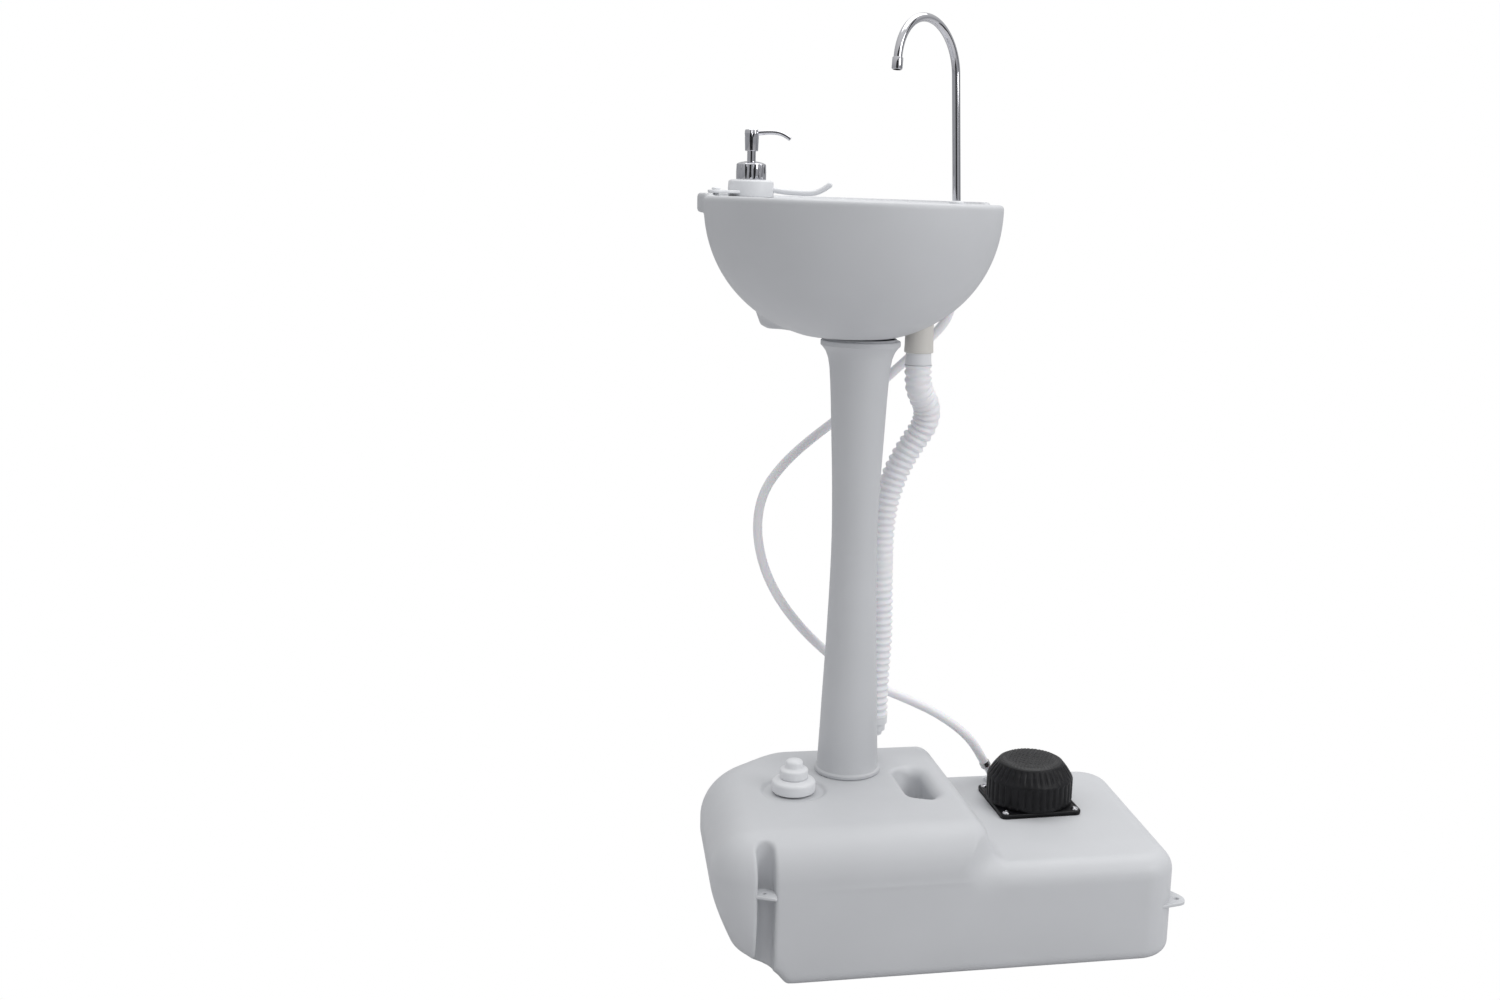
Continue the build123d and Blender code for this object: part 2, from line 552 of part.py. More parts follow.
def cord(route, diameter, name):
    """Plain solid of a hose along its route; prints its bends and proves its volume."""
    radii = corner_radii(route)
    body, length = along(route, radii, diameter / 2)
    expected = pi * diameter ** 2 / 4 * length
    print(name, "length", round(length, 1), "volume ratio", round(body.volume / expected, 4))
    print("  bend radii", [round(r) for r in radii])
    save(body, name)


def hose_clamp(end, inward, turn):
    """Ear clamp round the water hose, a little in from its end: a band with one pinched ear."""
    inner = HOSE_D / 2
    band = ring(inner + 1, inner, 2, 8)
    ear = Rot(0, 0, turn) * Pos(inner + 2.2, 0, 5) * Box(3.4, 4.5, 6)
    frame = Plane(origin=end, z_dir=Vector(*inward) - Vector(*end))
    return frame.location * (band + ear)


# ---- faucet -------------------------------------------------------------------------------
SPOUT_R = 4.8
SHANK_R = 7.0
SPOUT_LOW = 800.0
ARC_R = 57.0
ARC_Z = 980.0
ARC_TURN = 172.0
SPOUT_AIM = degrees(atan2(-0.634, -0.773))
WASHER_TOP = RIM_TOP + 3.0
TIP_LENGTH = 12.0


def make_faucet():
    """Gooseneck that turns in a shank fixed through the deck."""
    x, y = FAUCET_X, FAUCET_Y
    ends = [(0, 0, SPOUT_LOW), (0, 0, ARC_Z)]
    stem = Line(*ends)
    arc = CenterArc((ARC_R, 0, 0), ARC_R, 180, -ARC_TURN)
    arc = Pos(0, 0, ARC_Z) * Rot(90, 0, 0) * arc
    place = Pos(x, y, 0) * Rot(0, 0, SPOUT_AIM)
    neck = sweep(Pos(0, 0, SPOUT_LOW) * Circle(SPOUT_R), path=stem)
    neck += sweep(Pos(0, 0, ARC_Z) * Circle(SPOUT_R), path=arc)
    bore = sweep(Pos(0, 0, SPOUT_LOW) * Circle(SPOUT_R - 1), path=stem)
    bore += sweep(Pos(0, 0, ARC_Z) * Circle(SPOUT_R - 1), path=arc)
    save(place * (neck - bore), "faucet_spout")
    tip_frame = Plane(origin=arc @ 1, z_dir=arc % 1)
    tip = Cone(SPOUT_R + 0.6, SPOUT_R - 0.6, TIP_LENGTH, align=(Align.CENTER, Align.CENTER, Align.MIN))
    tip -= Pos(0, 0, TIP_LENGTH / 2) * Cylinder(SPOUT_R - 1.6, TIP_LENGTH + 1)
    save(place * tip_frame.location * tip, "spout_tip")
    save(ring(8, SPOUT_R + GAP, RIM_TOP, WASHER_TOP, x, y), "faucet_washer")
    shank = ring(SHANK_R, SPOUT_R + FIT, SPOUT_LOW - 4, RIM_TOP, x, y)
    shank += ring(SHANK_R, 3.0, 752, SPOUT_LOW - 4, x, y)
    shank -= ring(SPOUT_R + 1.4, SPOUT_R, 812, 815, x, y)
    save(shank, "faucet_shank")
    seal = ring(SPOUT_R + 1.4, SPOUT_R + FIT, 812, 815, x, y)
    save(seal, "faucet_seal")
    nut = hex_ring(20, SHANK_R, 753, 777, x, y)
    save(nut - basin_body(0), "faucet_nut")
    save(ring(BARB_R, BARB_BORE, 738, 752, x, y) + ring(SHANK_R, BARB_BORE, 749, 752, x, y), "faucet_barb")


# ---- soap dispenser -----------------------------------------------------------------------
SOAP_RING_TOP = 853.0
COLLAR_R = 17.0
COLLAR_Z1 = 873.0
STEM_R = 5.0
HEAD_R = 8.0
HEAD_Z0 = 885.0
HEAD_Z1 = 909.0


def make_soap():
    """Bottle in its well, chrome collar, pump barrel, plunger, spring and turning head."""
    x, y = SOAP_X, SOAP_Y
    bottle = rod(SOAP_WELL_R - GAP, SOAP_WELL_FLOOR + GAP, RIM_TOP - 2, x, y)
    bottle += rod(14.5, RIM_TOP - 3, 864, x, y)
    bottle -= rod(SOAP_WELL_R - GAP - 2, SOAP_WELL_FLOOR + GAP + 2, RIM_TOP - 4, x, y)
    bottle -= rod(12.5, RIM_TOP - 5, 866, x, y)
    save(bottle, "soap_bottle")

    collar = ribbed(COLLAR_R, 0.7, 18, SOAP_RING_TOP, COLLAR_Z1 - 2, x, y)
    collar += Pos(x, y, COLLAR_Z1 - 1) * Cone(COLLAR_R - 0.4, COLLAR_R - 2.4, 2)
    collar -= rod(14.5 + GAP, SOAP_RING_TOP - 1, 864.2, x, y)
    collar -= rod(10.5, 860, 869, x, y)
    collar -= rod(STEM_R + FIT, 860, COLLAR_Z1 + 1, x, y)
    save(collar, "soap_collar")

    barrel = ring(8, 6.5, 806, 864.2, x, y) + ring(12.4, 6.5, 862.2, 864.2, x, y)
    barrel += ring(8, 2.0, 803, 806, x, y) + ring(4.5, 2.0, 797, 803, x, y)
    save(barrel, "soap_pump_barrel")
    save(Pos(x, y, 808.6) * Sphere(3.2), "soap_valve_ball")
    save(ring(2.0 + 1.2, 2.0, 783, 797, x, y), "soap_dip_tube")

    stem = rod(STEM_R, 850, HEAD_Z0 + 4, x, y) + rod(3.0, 832, 850, x, y)
    save(stem - rod(1.6, 831, HEAD_Z0 + 5, x, y), "soap_stem")
    save(ring(6.5 - FIT, 3.0, 834, 841, x, y), "soap_piston")
    save(coil_spring(5.4, 0.6, 806, 834, 8, x, y), "soap_spring")

    head = rod(HEAD_R, HEAD_Z0, HEAD_Z1 - 1.5, x, y)
    head += Pos(x, y, HEAD_Z1 - 0.75) * Cone(HEAD_R, HEAD_R - 1.2, 1.5)
    head -= rod(STEM_R + FIT, HEAD_Z0 - 1, HEAD_Z0 + 4.1, x, y)
    head -= Pos(x, y, HEAD_Z1) * Rot(0, 0, NOZZLE_AIM) * Pos(-2, 0, 0) * Box(5, 20, 5)
    save(head, "soap_head")
    place = Pos(x, y, 0) * Rot(0, 0, NOZZLE_AIM)
    route = [(HEAD_R - 0.3, 0, 905.5), (26, 0, 906.5), (44, 0, 900)]
    nozzle, _ = along(route, 12.0, 2.3, 1.3)
    save(place * nozzle - rod(HEAD_R, 900, 910, x, y), "soap_nozzle")


NOZZLE_AIM = -18.0
ARM_R = 3.2
PEG_X = -160.0
PEG_Y = 53.0
PEG_R = 3.5


def make_towel_holder():
    """White ring under the soap collar, with a towel arm on one side and a locking tab on the other."""
    x, y = SOAP_X, SOAP_Y
    z = 843.0
    holder = ring(26, 14.5 + GAP, RIM_TOP, SOAP_RING_TOP, x, y)
    route = [(-96, 68, z), (-72, 63, z - 2.5), (-48, 57, z - 3.5), (-36, 54, z + 3.0), (-28, 52, z + 8.0)]
    arm, _ = along(route, [30.0, 30.0, 8.0], ARM_R)
    holder += arm
    holder += Pos(-28, 52, z + 8.0) * Sphere(ARM_R)
    tab = make_face(Polyline([(-136, 84), (-166, 60), (-168, 50), (-158, 45), (-150, 50), (-128, 54)], close=True))
    holder += extrude(Pos(0, 0, RIM_TOP + 3) * tab, 3.5)
    holder -= rod(14.5 + GAP, 800, 860, x, y)
    holder -= rod(PEG_R + FIT, 830, 860, PEG_X, PEG_Y)
    save(holder, "towel_holder")
    peg = rod(PEG_R, RIM_TOP - 10, RIM_TOP + 6.5, PEG_X, PEG_Y)
    peg += rod(5.5, RIM_TOP + 6.5, RIM_TOP + 8.0, PEG_X, PEG_Y)
    peg += ring(5.0, PEG_R, RIM_TOP, RIM_TOP + 3, PEG_X, PEG_Y)
    save(peg, "towel_holder_peg")


def main():
    save(tank(), "water_tank")
    make_caps()
    save(column(), "column")
    save(basin(), "basin")
    make_pump()
    make_outlet()
    make_drain()
    cord(WATER_ROUTE, HOSE_D, "water_hose")
    save(hose_clamp(WATER_ROUTE[0], WATER_ROUTE[1], 90), "lower_hose_clamp")
    save(hose_clamp(WATER_ROUTE[-1], WATER_ROUTE[-2], 60), "upper_hose_clamp")
    make_faucet()
    make_soap()
    make_towel_holder()


main()
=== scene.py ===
"""Portable handwash sink: the looks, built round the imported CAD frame.

Shapes are worked out in millimetres and written to Blender in metres.
"""
import json
import math

import bpy
import numpy as np
from mathutils import Matrix, Vector


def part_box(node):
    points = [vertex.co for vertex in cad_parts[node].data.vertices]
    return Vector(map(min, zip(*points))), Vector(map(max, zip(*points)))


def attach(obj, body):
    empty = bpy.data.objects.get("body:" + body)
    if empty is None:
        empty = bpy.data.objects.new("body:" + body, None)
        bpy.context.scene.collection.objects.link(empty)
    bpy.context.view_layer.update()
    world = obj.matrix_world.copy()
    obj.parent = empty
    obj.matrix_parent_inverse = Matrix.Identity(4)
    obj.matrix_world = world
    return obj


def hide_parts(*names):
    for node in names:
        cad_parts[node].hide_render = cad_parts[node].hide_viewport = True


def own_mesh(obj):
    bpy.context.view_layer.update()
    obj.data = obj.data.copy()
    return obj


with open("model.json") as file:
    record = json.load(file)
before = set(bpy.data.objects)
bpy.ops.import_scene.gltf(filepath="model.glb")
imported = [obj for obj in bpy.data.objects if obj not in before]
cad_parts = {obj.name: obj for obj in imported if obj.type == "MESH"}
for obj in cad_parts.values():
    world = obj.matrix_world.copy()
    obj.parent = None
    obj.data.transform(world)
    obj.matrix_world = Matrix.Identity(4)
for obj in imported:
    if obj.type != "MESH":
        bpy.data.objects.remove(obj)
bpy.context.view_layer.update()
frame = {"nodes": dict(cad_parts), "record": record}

MM = 0.001


# ---- the frame's sizes ----------------------------------------------------------------------
def box_mm(node):
    """Lowest and highest corner of a CAD node, in millimetres."""
    low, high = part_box(node)
    return np.array(low) / MM, np.array(high) / MM


def middle(node):
    """Centre of a CAD node in plan, in millimetres."""
    low, high = box_mm(node)
    return (low[0] + high[0]) / 2, (low[1] + high[1]) / 2


def half_width(node):
    """Half the width of a CAD node along x, in millimetres."""
    low, high = box_mm(node)
    return (high[0] - low[0]) / 2


# ---- camera and lights ----------------------------------------------------------------------
CAMERA_PLACE = (-0.403, -1.713, 0.837)
CAMERA_ANGLES = (13.78, 11.02, 1.95)


def make_camera():
    """The camera stands to the left of the sink's front, level with its rim."""
    heading, pitch, roll = (math.radians(angle) for angle in CAMERA_ANGLES)
    ahead, down = math.cos(pitch), math.sin(pitch)
    forward = Vector((math.sin(heading) * ahead, math.cos(heading) * ahead, -down))
    level = Vector((math.cos(heading), -math.sin(heading), 0))
    upright = level.cross(forward)
    right = math.cos(roll) * level + math.sin(roll) * upright
    up = math.cos(roll) * upright - math.sin(roll) * level
    data = bpy.data.cameras.new("camera")
    data.sensor_width = 36.0
    data.lens = 37.18
    data.shift_x = -0.08
    camera = bpy.data.objects.new("camera", data)
    turned = Matrix((right, up, -forward)).transposed().to_4x4()
    camera.matrix_world = Matrix.Translation(CAMERA_PLACE) @ turned
    bpy.context.scene.collection.objects.link(camera)
    bpy.context.scene.camera = camera


def area_light(name, place, target, size, power):
    """Soft box that points at a target."""
    data = bpy.data.lights.new(name, "AREA")
    data.shape = "RECTANGLE"
    data.size, data.size_y = size
    data.energy = power
    light = bpy.data.objects.new(name, data)
    light.location = place
    light.rotation_mode = "QUATERNION"
    light.rotation_quaternion = (Vector(target) - Vector(place)).to_track_quat("-Z", "Y")
    bpy.context.scene.collection.objects.link(light)


def make_world():
    """White all round for the camera; as a source of light, grey low down and white overhead."""
    world = bpy.data.worlds.new("studio")
    bpy.context.scene.world = world
    world.use_nodes = True
    nodes, links = world.node_tree.nodes, world.node_tree.links
    nodes.clear()
    place = nodes.new("ShaderNodeTexCoord")
    split = nodes.new("ShaderNodeSeparateXYZ")
    ramp = nodes.new("ShaderNodeValToRGB")
    ramp.color_ramp.elements[0].position = 0.42
    ramp.color_ramp.elements[0].color = (0.40, 0.41, 0.43, 1)
    ramp.color_ramp.elements[1].position = 0.95
    ramp.color_ramp.elements[1].color = (1.0, 1.0, 1.0, 1)
    shift = nodes.new("ShaderNodeMapRange")
    shift.inputs["From Min"].default_value = -1.0
    soft = nodes.new("ShaderNodeBackground")
    soft.inputs["Strength"].default_value = 0.78
    seen = nodes.new("ShaderNodeBackground")
    seen.inputs["Color"].default_value = (1, 1, 1, 1)
    seen.inputs["Strength"].default_value = 1.0
    ray = nodes.new("ShaderNodeLightPath")
    mix = nodes.new("ShaderNodeMixShader")
    out = nodes.new("ShaderNodeOutputWorld")
    links.new(place.outputs["Generated"], split.inputs[0])
    links.new(split.outputs["Z"], shift.inputs["Value"])
    links.new(shift.outputs[0], ramp.inputs[0])
    links.new(ramp.outputs[0], soft.inputs["Color"])
    links.new(ray.outputs["Is Camera Ray"], mix.inputs[0])
    links.new(soft.outputs[0], mix.inputs[1])
    links.new(seen.outputs[0], mix.inputs[2])
    links.new(mix.outputs[0], out.inputs[0])


def make_stage():
    """Pale floor that only throws light back, and two dark cards that give the chrome its stripes."""
    bpy.ops.mesh.primitive_plane_add(size=14, location=(0, 0, -0.0005))
    floor = bpy.context.object
    floor.name = "floor"
    material = bpy.data.materials.new("floor_white")
    material.use_nodes = True
    shader = material.node_tree.nodes["Principled BSDF"]
    shader.inputs["Base Color"].default_value = (0.62, 0.62, 0.63, 1)
    shader.inputs["Roughness"].default_value = 0.9
    floor.data.materials.append(material)
    floor.visible_camera = False
    dark = bpy.data.materials.new("card_black")
    dark.use_nodes = True
    dark.node_tree.nodes["Principled BSDF"].inputs["Base Color"].default_value = (0.01, 0.01, 0.01, 1)
    for name, x, y, turn, width in (("card_front", -0.95, -2.5, 20, 2.6),
                                    ("card_right", 1.9, -0.4, -80, 0.5)):
        bpy.ops.mesh.primitive_plane_add(size=1, location=(x, y, 1.0))
        card = bpy.context.object
        card.name = name
        card.scale = (width, 3.2, 1)
        card.rotation_euler = (math.radians(90), 0, math.radians(turn))
        card.data.materials.append(dark)
        card.visible_camera = False
        card.visible_diffuse = False
        card.visible_shadow = False
    bpy.context.scene.view_settings.view_transform = "Standard"


# ---- materials ------------------------------------------------------------------------------
def new_material(name):
    """Empty material: its node tree, links and shader."""
    material = bpy.data.materials.new(name)
    material.use_nodes = True
    tree = material.node_tree
    return material, tree.nodes, tree.links, tree.nodes["Principled BSDF"]


def noise(nodes, links, scale, detail=3.0, rough=0.5):
    """Noise in the object's own space."""
    place = nodes.new("ShaderNodeTexCoord")
    texture = nodes.new("ShaderNodeTexNoise")
    texture.inputs["Scale"].default_value = scale
    texture.inputs["Detail"].default_value = detail
    texture.inputs["Roughness"].default_value = rough
    links.new(place.outputs["Object"], texture.inputs["Vector"])
    return texture.outputs["Fac"]


def spread(nodes, links, value, low, high):
    """A noise value mapped onto a range."""
    node = nodes.new("ShaderNodeMapRange")
    node.inputs["From Min"].default_value = 0.3
    node.inputs["From Max"].default_value = 0.7
    node.inputs["To Min"].default_value = low
    node.inputs["To Max"].default_value = high
    links.new(value, node.inputs["Value"])
    return node.outputs[0]


def between(nodes, links, value, dark, light):
    """A noise value turned into a colour between two."""
    node = nodes.new("ShaderNodeValToRGB")
    node.color_ramp.elements[0].position = 0.3
    node.color_ramp.elements[0].color = (*dark, 1)
    node.color_ramp.elements[1].position = 0.7
    node.color_ramp.elements[1].color = (*light, 1)
    links.new(value, node.inputs[0])
    return node.outputs[0]


def bump(nodes, links, shader, heights, strength, distance):
    """Adds surface relief from one or more height values, the later over the earlier."""
    normal = None
    for height in heights:
        node = nodes.new("ShaderNodeBump")
        node.inputs["Strength"].default_value = strength
        node.inputs["Distance"].default_value = distance
        links.new(height, node.inputs["Height"])
        if normal is not None:
            links.new(normal, node.inputs["Normal"])
        normal = node.outputs[0]
    links.new(normal, shader.inputs["Normal"])


def moulded(name, colour, rough=(0.40, 0.50), grain=900, relief=0.00008, tint=0.02, soft=0.0):
    """Moulded plastic: faint drifts of colour and gloss, and a fine matt grain."""
    material, nodes, links, shader = new_material(name)
    cloud = noise(nodes, links, 9, 2)
    shade = tuple(c * (1 - tint) for c in colour)
    light = tuple(min(1, c * (1 + tint)) for c in colour)
    links.new(between(nodes, links, cloud, shade, light), shader.inputs["Base Color"])
    links.new(spread(nodes, links, noise(nodes, links, 60, 4), *rough), shader.inputs["Roughness"])
    bump(nodes, links, shader, [noise(nodes, links, grain, 2), noise(nodes, links, 45, 2)], 0.35, relief)
    shader.inputs["Specular IOR Level"].default_value = 0.45
    if soft:
        shader.inputs["Subsurface Weight"].default_value = soft
        shader.inputs["Subsurface Scale"].default_value = 0.004
    return material


def rubber(name, colour, rough, gloss):
    """Black rubber: slightly dusty, with a fine uneven skin."""
    material, nodes, links, shader = new_material(name)
    dust = noise(nodes, links, 40, 5, 0.65)
    lighter = tuple(c * 1.9 for c in colour)
    links.new(between(nodes, links, dust, colour, lighter), shader.inputs["Base Color"])
    links.new(spread(nodes, links, noise(nodes, links, 90, 4), *rough), shader.inputs["Roughness"])
    shader.inputs["Specular IOR Level"].default_value = gloss
    bump(nodes, links, shader, [noise(nodes, links, 1400, 3)], 0.4, 0.00012)
    return material


def metal(name, colour, rough, brushed=False):
    """Plated or plain metal with faint smears in its gloss."""
    material, nodes, links, shader = new_material(name)
    shader.inputs["Base Color"].default_value = (*colour, 1)
    shader.inputs["Metallic"].default_value = 1.0
    links.new(spread(nodes, links, noise(nodes, links, 35, 5), *rough), shader.inputs["Roughness"])
    bump(nodes, links, shader, [noise(nodes, links, 600 if brushed else 120, 2)], 0.15, 0.00002)
    return material


MATERIALS = {
    "grey_polyethylene": moulded("grey_polyethylene", (0.60, 0.61, 0.63), (0.40, 0.50)),
    "white_plastic": moulded("white_plastic", (0.80, 0.81, 0.83), (0.32, 0.42), 700, 0.00005, 0.01),
    "ivory_plastic": moulded("ivory_plastic", (0.70, 0.68, 0.64), (0.36, 0.46), 700, 0.00005, 0.02),
    "clear_plastic": moulded("clear_plastic", (0.80, 0.82, 0.83), (0.12, 0.2), 300, 0.00002, 0.01, 0.3),
    "black_rubber": rubber("black_rubber", (0.004, 0.004, 0.005), (0.38, 0.55), 0.28),
    "black_plastic": rubber("black_plastic", (0.004, 0.004, 0.005), (0.32, 0.45), 0.25),
    "tread_rubber": rubber("tread_rubber", (0.012, 0.012, 0.013), (0.38, 0.5), 0.4),
    "chrome": metal("chrome", (0.66, 0.66, 0.69), (0.04, 0.10)),
    "steel": metal("steel", (0.62, 0.62, 0.62), (0.2, 0.32), True),
    "hose_white": moulded("hose_white", (0.90, 0.90, 0.93), (0.30, 0.42), 500, 0.00005, 0.015, 0.15),
}
SLOTS = {part["node"]: part["material_slot"] for part in frame["record"]["subparts"]}


def dress_cad():
    """Gives every CAD node the material of its slot."""
    for node, thing in frame["nodes"].items():
        thing.data.materials.clear()
        thing.data.materials.append(MATERIALS[SLOTS[node]])


def body_of(node):
    """The CAD body that holds a node."""
    for body, nodes in frame["record"]["behaviour"]["bodies"].items():
        if node in nodes:
            return body
    return None


# ---- mesh tools -----------------------------------------------------------------------------
def mesh_piece(name, points, faces, node, material=None, sharp=None, body=None):
    """Mesh in millimetres that stands for a CAD node and rides on its body, or on another."""
    mesh = bpy.data.meshes.new(name)
    mesh.from_pydata((np.asarray(points, dtype=float) * MM).tolist(), [], [list(f) for f in faces])
    mesh.validate()
    mesh.polygons.foreach_set("use_smooth", [True] * len(mesh.polygons))
    if sharp is not None:
        mesh.set_sharp_from_angle(angle=math.radians(sharp))
    thing = bpy.data.objects.new(name, mesh)
    bpy.context.scene.collection.objects.link(thing)
    mesh.materials.append(material or MATERIALS[SLOTS[node]])
    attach(thing, body or body_of(node))
    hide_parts(node)
    return thing


def press_piece(name, points, faces, node, joint, stroke, sharp=None):
    """Piece that stands on the sink and rides on its body, with a mesh of its own."""
    low, high = box_mm(node)
    thing = mesh_piece(name, points, faces, node, sharp=sharp, body="sink")
    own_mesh(thing)
    return thing


def rounded(corners, steps=5):
    """Outline from (a, b, radius) corners: each corner with a radius becomes an arc."""
    outline = []
    count = len(corners)
    for i, (a, b, radius) in enumerate(corners):
        here = np.array((a, b), dtype=float)
        if radius <= 0 or i in (0, count - 1):
            outline.append(here)
            continue
        before = np.array(corners[i - 1][:2], dtype=float) - here
        after = np.array(corners[i + 1][:2], dtype=float) - here
        u, v = before / np.linalg.norm(before), after / np.linalg.norm(after)
        half = math.acos(max(-1.0, min(1.0, float(u @ v)))) / 2
        reach = min(radius / math.tan(half), 0.49 * np.linalg.norm(before), 0.49 * np.linalg.norm(after))
        real = reach * math.tan(half)
        centre = here + (u + v) / np.linalg.norm(u + v) * real / math.sin(half)
        first = here + u * reach - centre
        last = here + v * reach - centre
        angle = math.acos(max(-1.0, min(1.0, float(first @ last) / real ** 2)))
        for k in range(steps + 1):
            t = k / steps
            way = (math.sin((1 - t) * angle) * first + math.sin(t * angle) * last) / math.sin(angle)
            outline.append(centre + way)
    return outline


def lathe(outline, segments, x=0.0, y=0.0, wave=None):
    """Points and faces of a profile of (radius, height) turned about an upright axis.

    wave(angle, radius, height) may return a new radius."""
    points, faces = [], []
    rows = []
    for radius, height in outline:
        if radius < 1e-6:
            rows.append([len(points)])
            points.append((x, y, height))
            continue
        row = []
        for k in range(segments):
            angle = 2 * math.pi * k / segments
            r = wave(angle, radius, height) if wave else radius
            row.append(len(points))
            points.append((x + r * math.cos(angle), y + r * math.sin(angle), height))
        rows.append(row)
    for lower, upper in zip(rows, rows[1:]):
        for k in range(segments):
            n = (k + 1) % segments
            if len(lower) == 1 and len(upper) == 1:
                continue
            if len(lower) == 1:
                faces.append((lower[0], upper[n], upper[k]))
            elif len(upper) == 1:
                faces.append((lower[k], lower[n], upper[0]))
            else:
                faces.append((lower[k], lower[n], upper[n], upper[k]))
    return points, faces


def frames_along(path):
    """Tangent and two cross directions at each point of a path, without twist."""
    path = np.asarray(path, dtype=float)
    tangents = np.gradient(path, axis=0)
    tangents /= np.linalg.norm(tangents, axis=1)[:, None]
    side = np.cross(tangents[0], (0.0, 0.0, 1.0))
    if np.linalg.norm(side) < 1e-3:
        side = np.cross(tangents[0], (1.0, 0.0, 0.0))
    sides = []
    for tangent in tangents:
        side = side - (side @ tangent) * tangent
        side = side / np.linalg.norm(side)
        sides.append(side)
    sides = np.array(sides)
    return tangents, sides, np.cross(tangents, sides)


def ring_faces(rings, segments):
    """Quads between neighbouring rings that all have the same number of points."""
    faces = []
    for i in range(rings - 1):
        near, far = i * segments, (i + 1) * segments
        for k in range(segments):
            n = (k + 1) % segments
            faces.append((near + k, near + n, far + n, far + k))
    return faces


def tube(path, radii, segments=32, closed_ends=True):
    """Points and faces of a round tube along a path; radii is one number or one for each point."""
    path = np.asarray(path, dtype=float)
    radii = np.broadcast_to(np.asarray(radii, dtype=float), (len(path),))
    _, across, over = frames_along(path)
    turn = np.linspace(0, 2 * math.pi, segments, endpoint=False)
    rings = (path[:, None] + radii[:, None, None]
             * (np.cos(turn)[None, :, None] * across[:, None] + np.sin(turn)[None, :, None] * over[:, None]))
    points = [tuple(p) for p in rings.reshape(-1, 3)]
    faces = ring_faces(len(path), segments)
    if closed_ends:
        last = (len(path) - 1) * segments
        faces.append(tuple(range(segments - 1, -1, -1)))
        faces.append(tuple(range(last, last + segments)))
    return points, faces


def joined(*parts):
    """Several (points, faces) pairs as one."""
    points, faces = [], []
    for some_points, some_faces in parts:
        shift = len(points)
        points += [tuple(p) for p in some_points]
        faces += [tuple(i + shift for i in face) for face in some_faces]
    return points, faces

def resampled(path, places, new_places):
    """Points of a path at new places along it."""
    return np.stack([np.interp(new_places, places, path[:, i]) for i in range(3)], axis=1)


def smoothed(line, rounds):
    """A line of points with its corners eased; both ends stay."""
    line = line.copy()
    for _ in range(rounds):
        line[1:-1] = 0.5 * line[1:-1] + 0.25 * (line[:-2] + line[2:])
    return line


def fine_line(points, count, rounds):
    """A line given as points, filled in to a count of points and eased."""
    places = np.linspace(0, len(points) - 1, count)
    return smoothed(resampled(points, range(len(points)), places), rounds)


def running_mean(values, reach):
    """Each value's mean with its neighbours up to a reach on both sides."""
    window = np.ones(2 * reach + 1) / (2 * reach + 1)
    return np.convolve(np.pad(values, reach, mode="edge"), window, "valid")


def rise(value, width):
    """0 up to zero, 1 from the width on, a straight line between."""
    return min(1.0, max(0.0, value / width))


# ---- smooth solids from distance fields --------------------------------------------------------
def round_and(a, b, radius):
    """What two fields share, its edge rounded."""
    inside = np.minimum(np.maximum(a + radius, b + radius), 0)
    return inside + np.hypot(np.maximum(a + radius, 0), np.maximum(b + radius, 0)) - radius


def round_or(a, b, radius):
    """Two fields together, the inner corner rounded."""
    return -round_and(-a, -b, radius)


def ease(t):
    """0 to 1 with soft ends."""
    t = np.clip(t, 0, 1)
    return t * t * (3 - 2 * t)


def plan_box(x, y, x0, x1, y0, y1, radii):
    """Field of a rectangle in plan with its own radius at each corner, anticlockwise from front left."""
    px, py = x - (x0 + x1) / 2, y - (y0 + y1) / 2
    front_left, front_right, back_right, back_left = radii
    r = np.where(px < 0, np.where(py < 0, front_left, back_left), np.where(py < 0, front_right, back_right))
    qx, qy = np.abs(px) - (x1 - x0) / 2 + r, np.abs(py) - (y1 - y0) / 2 + r
    return np.minimum(np.maximum(qx, qy), 0) + np.hypot(np.maximum(qx, 0), np.maximum(qy, 0)) - r


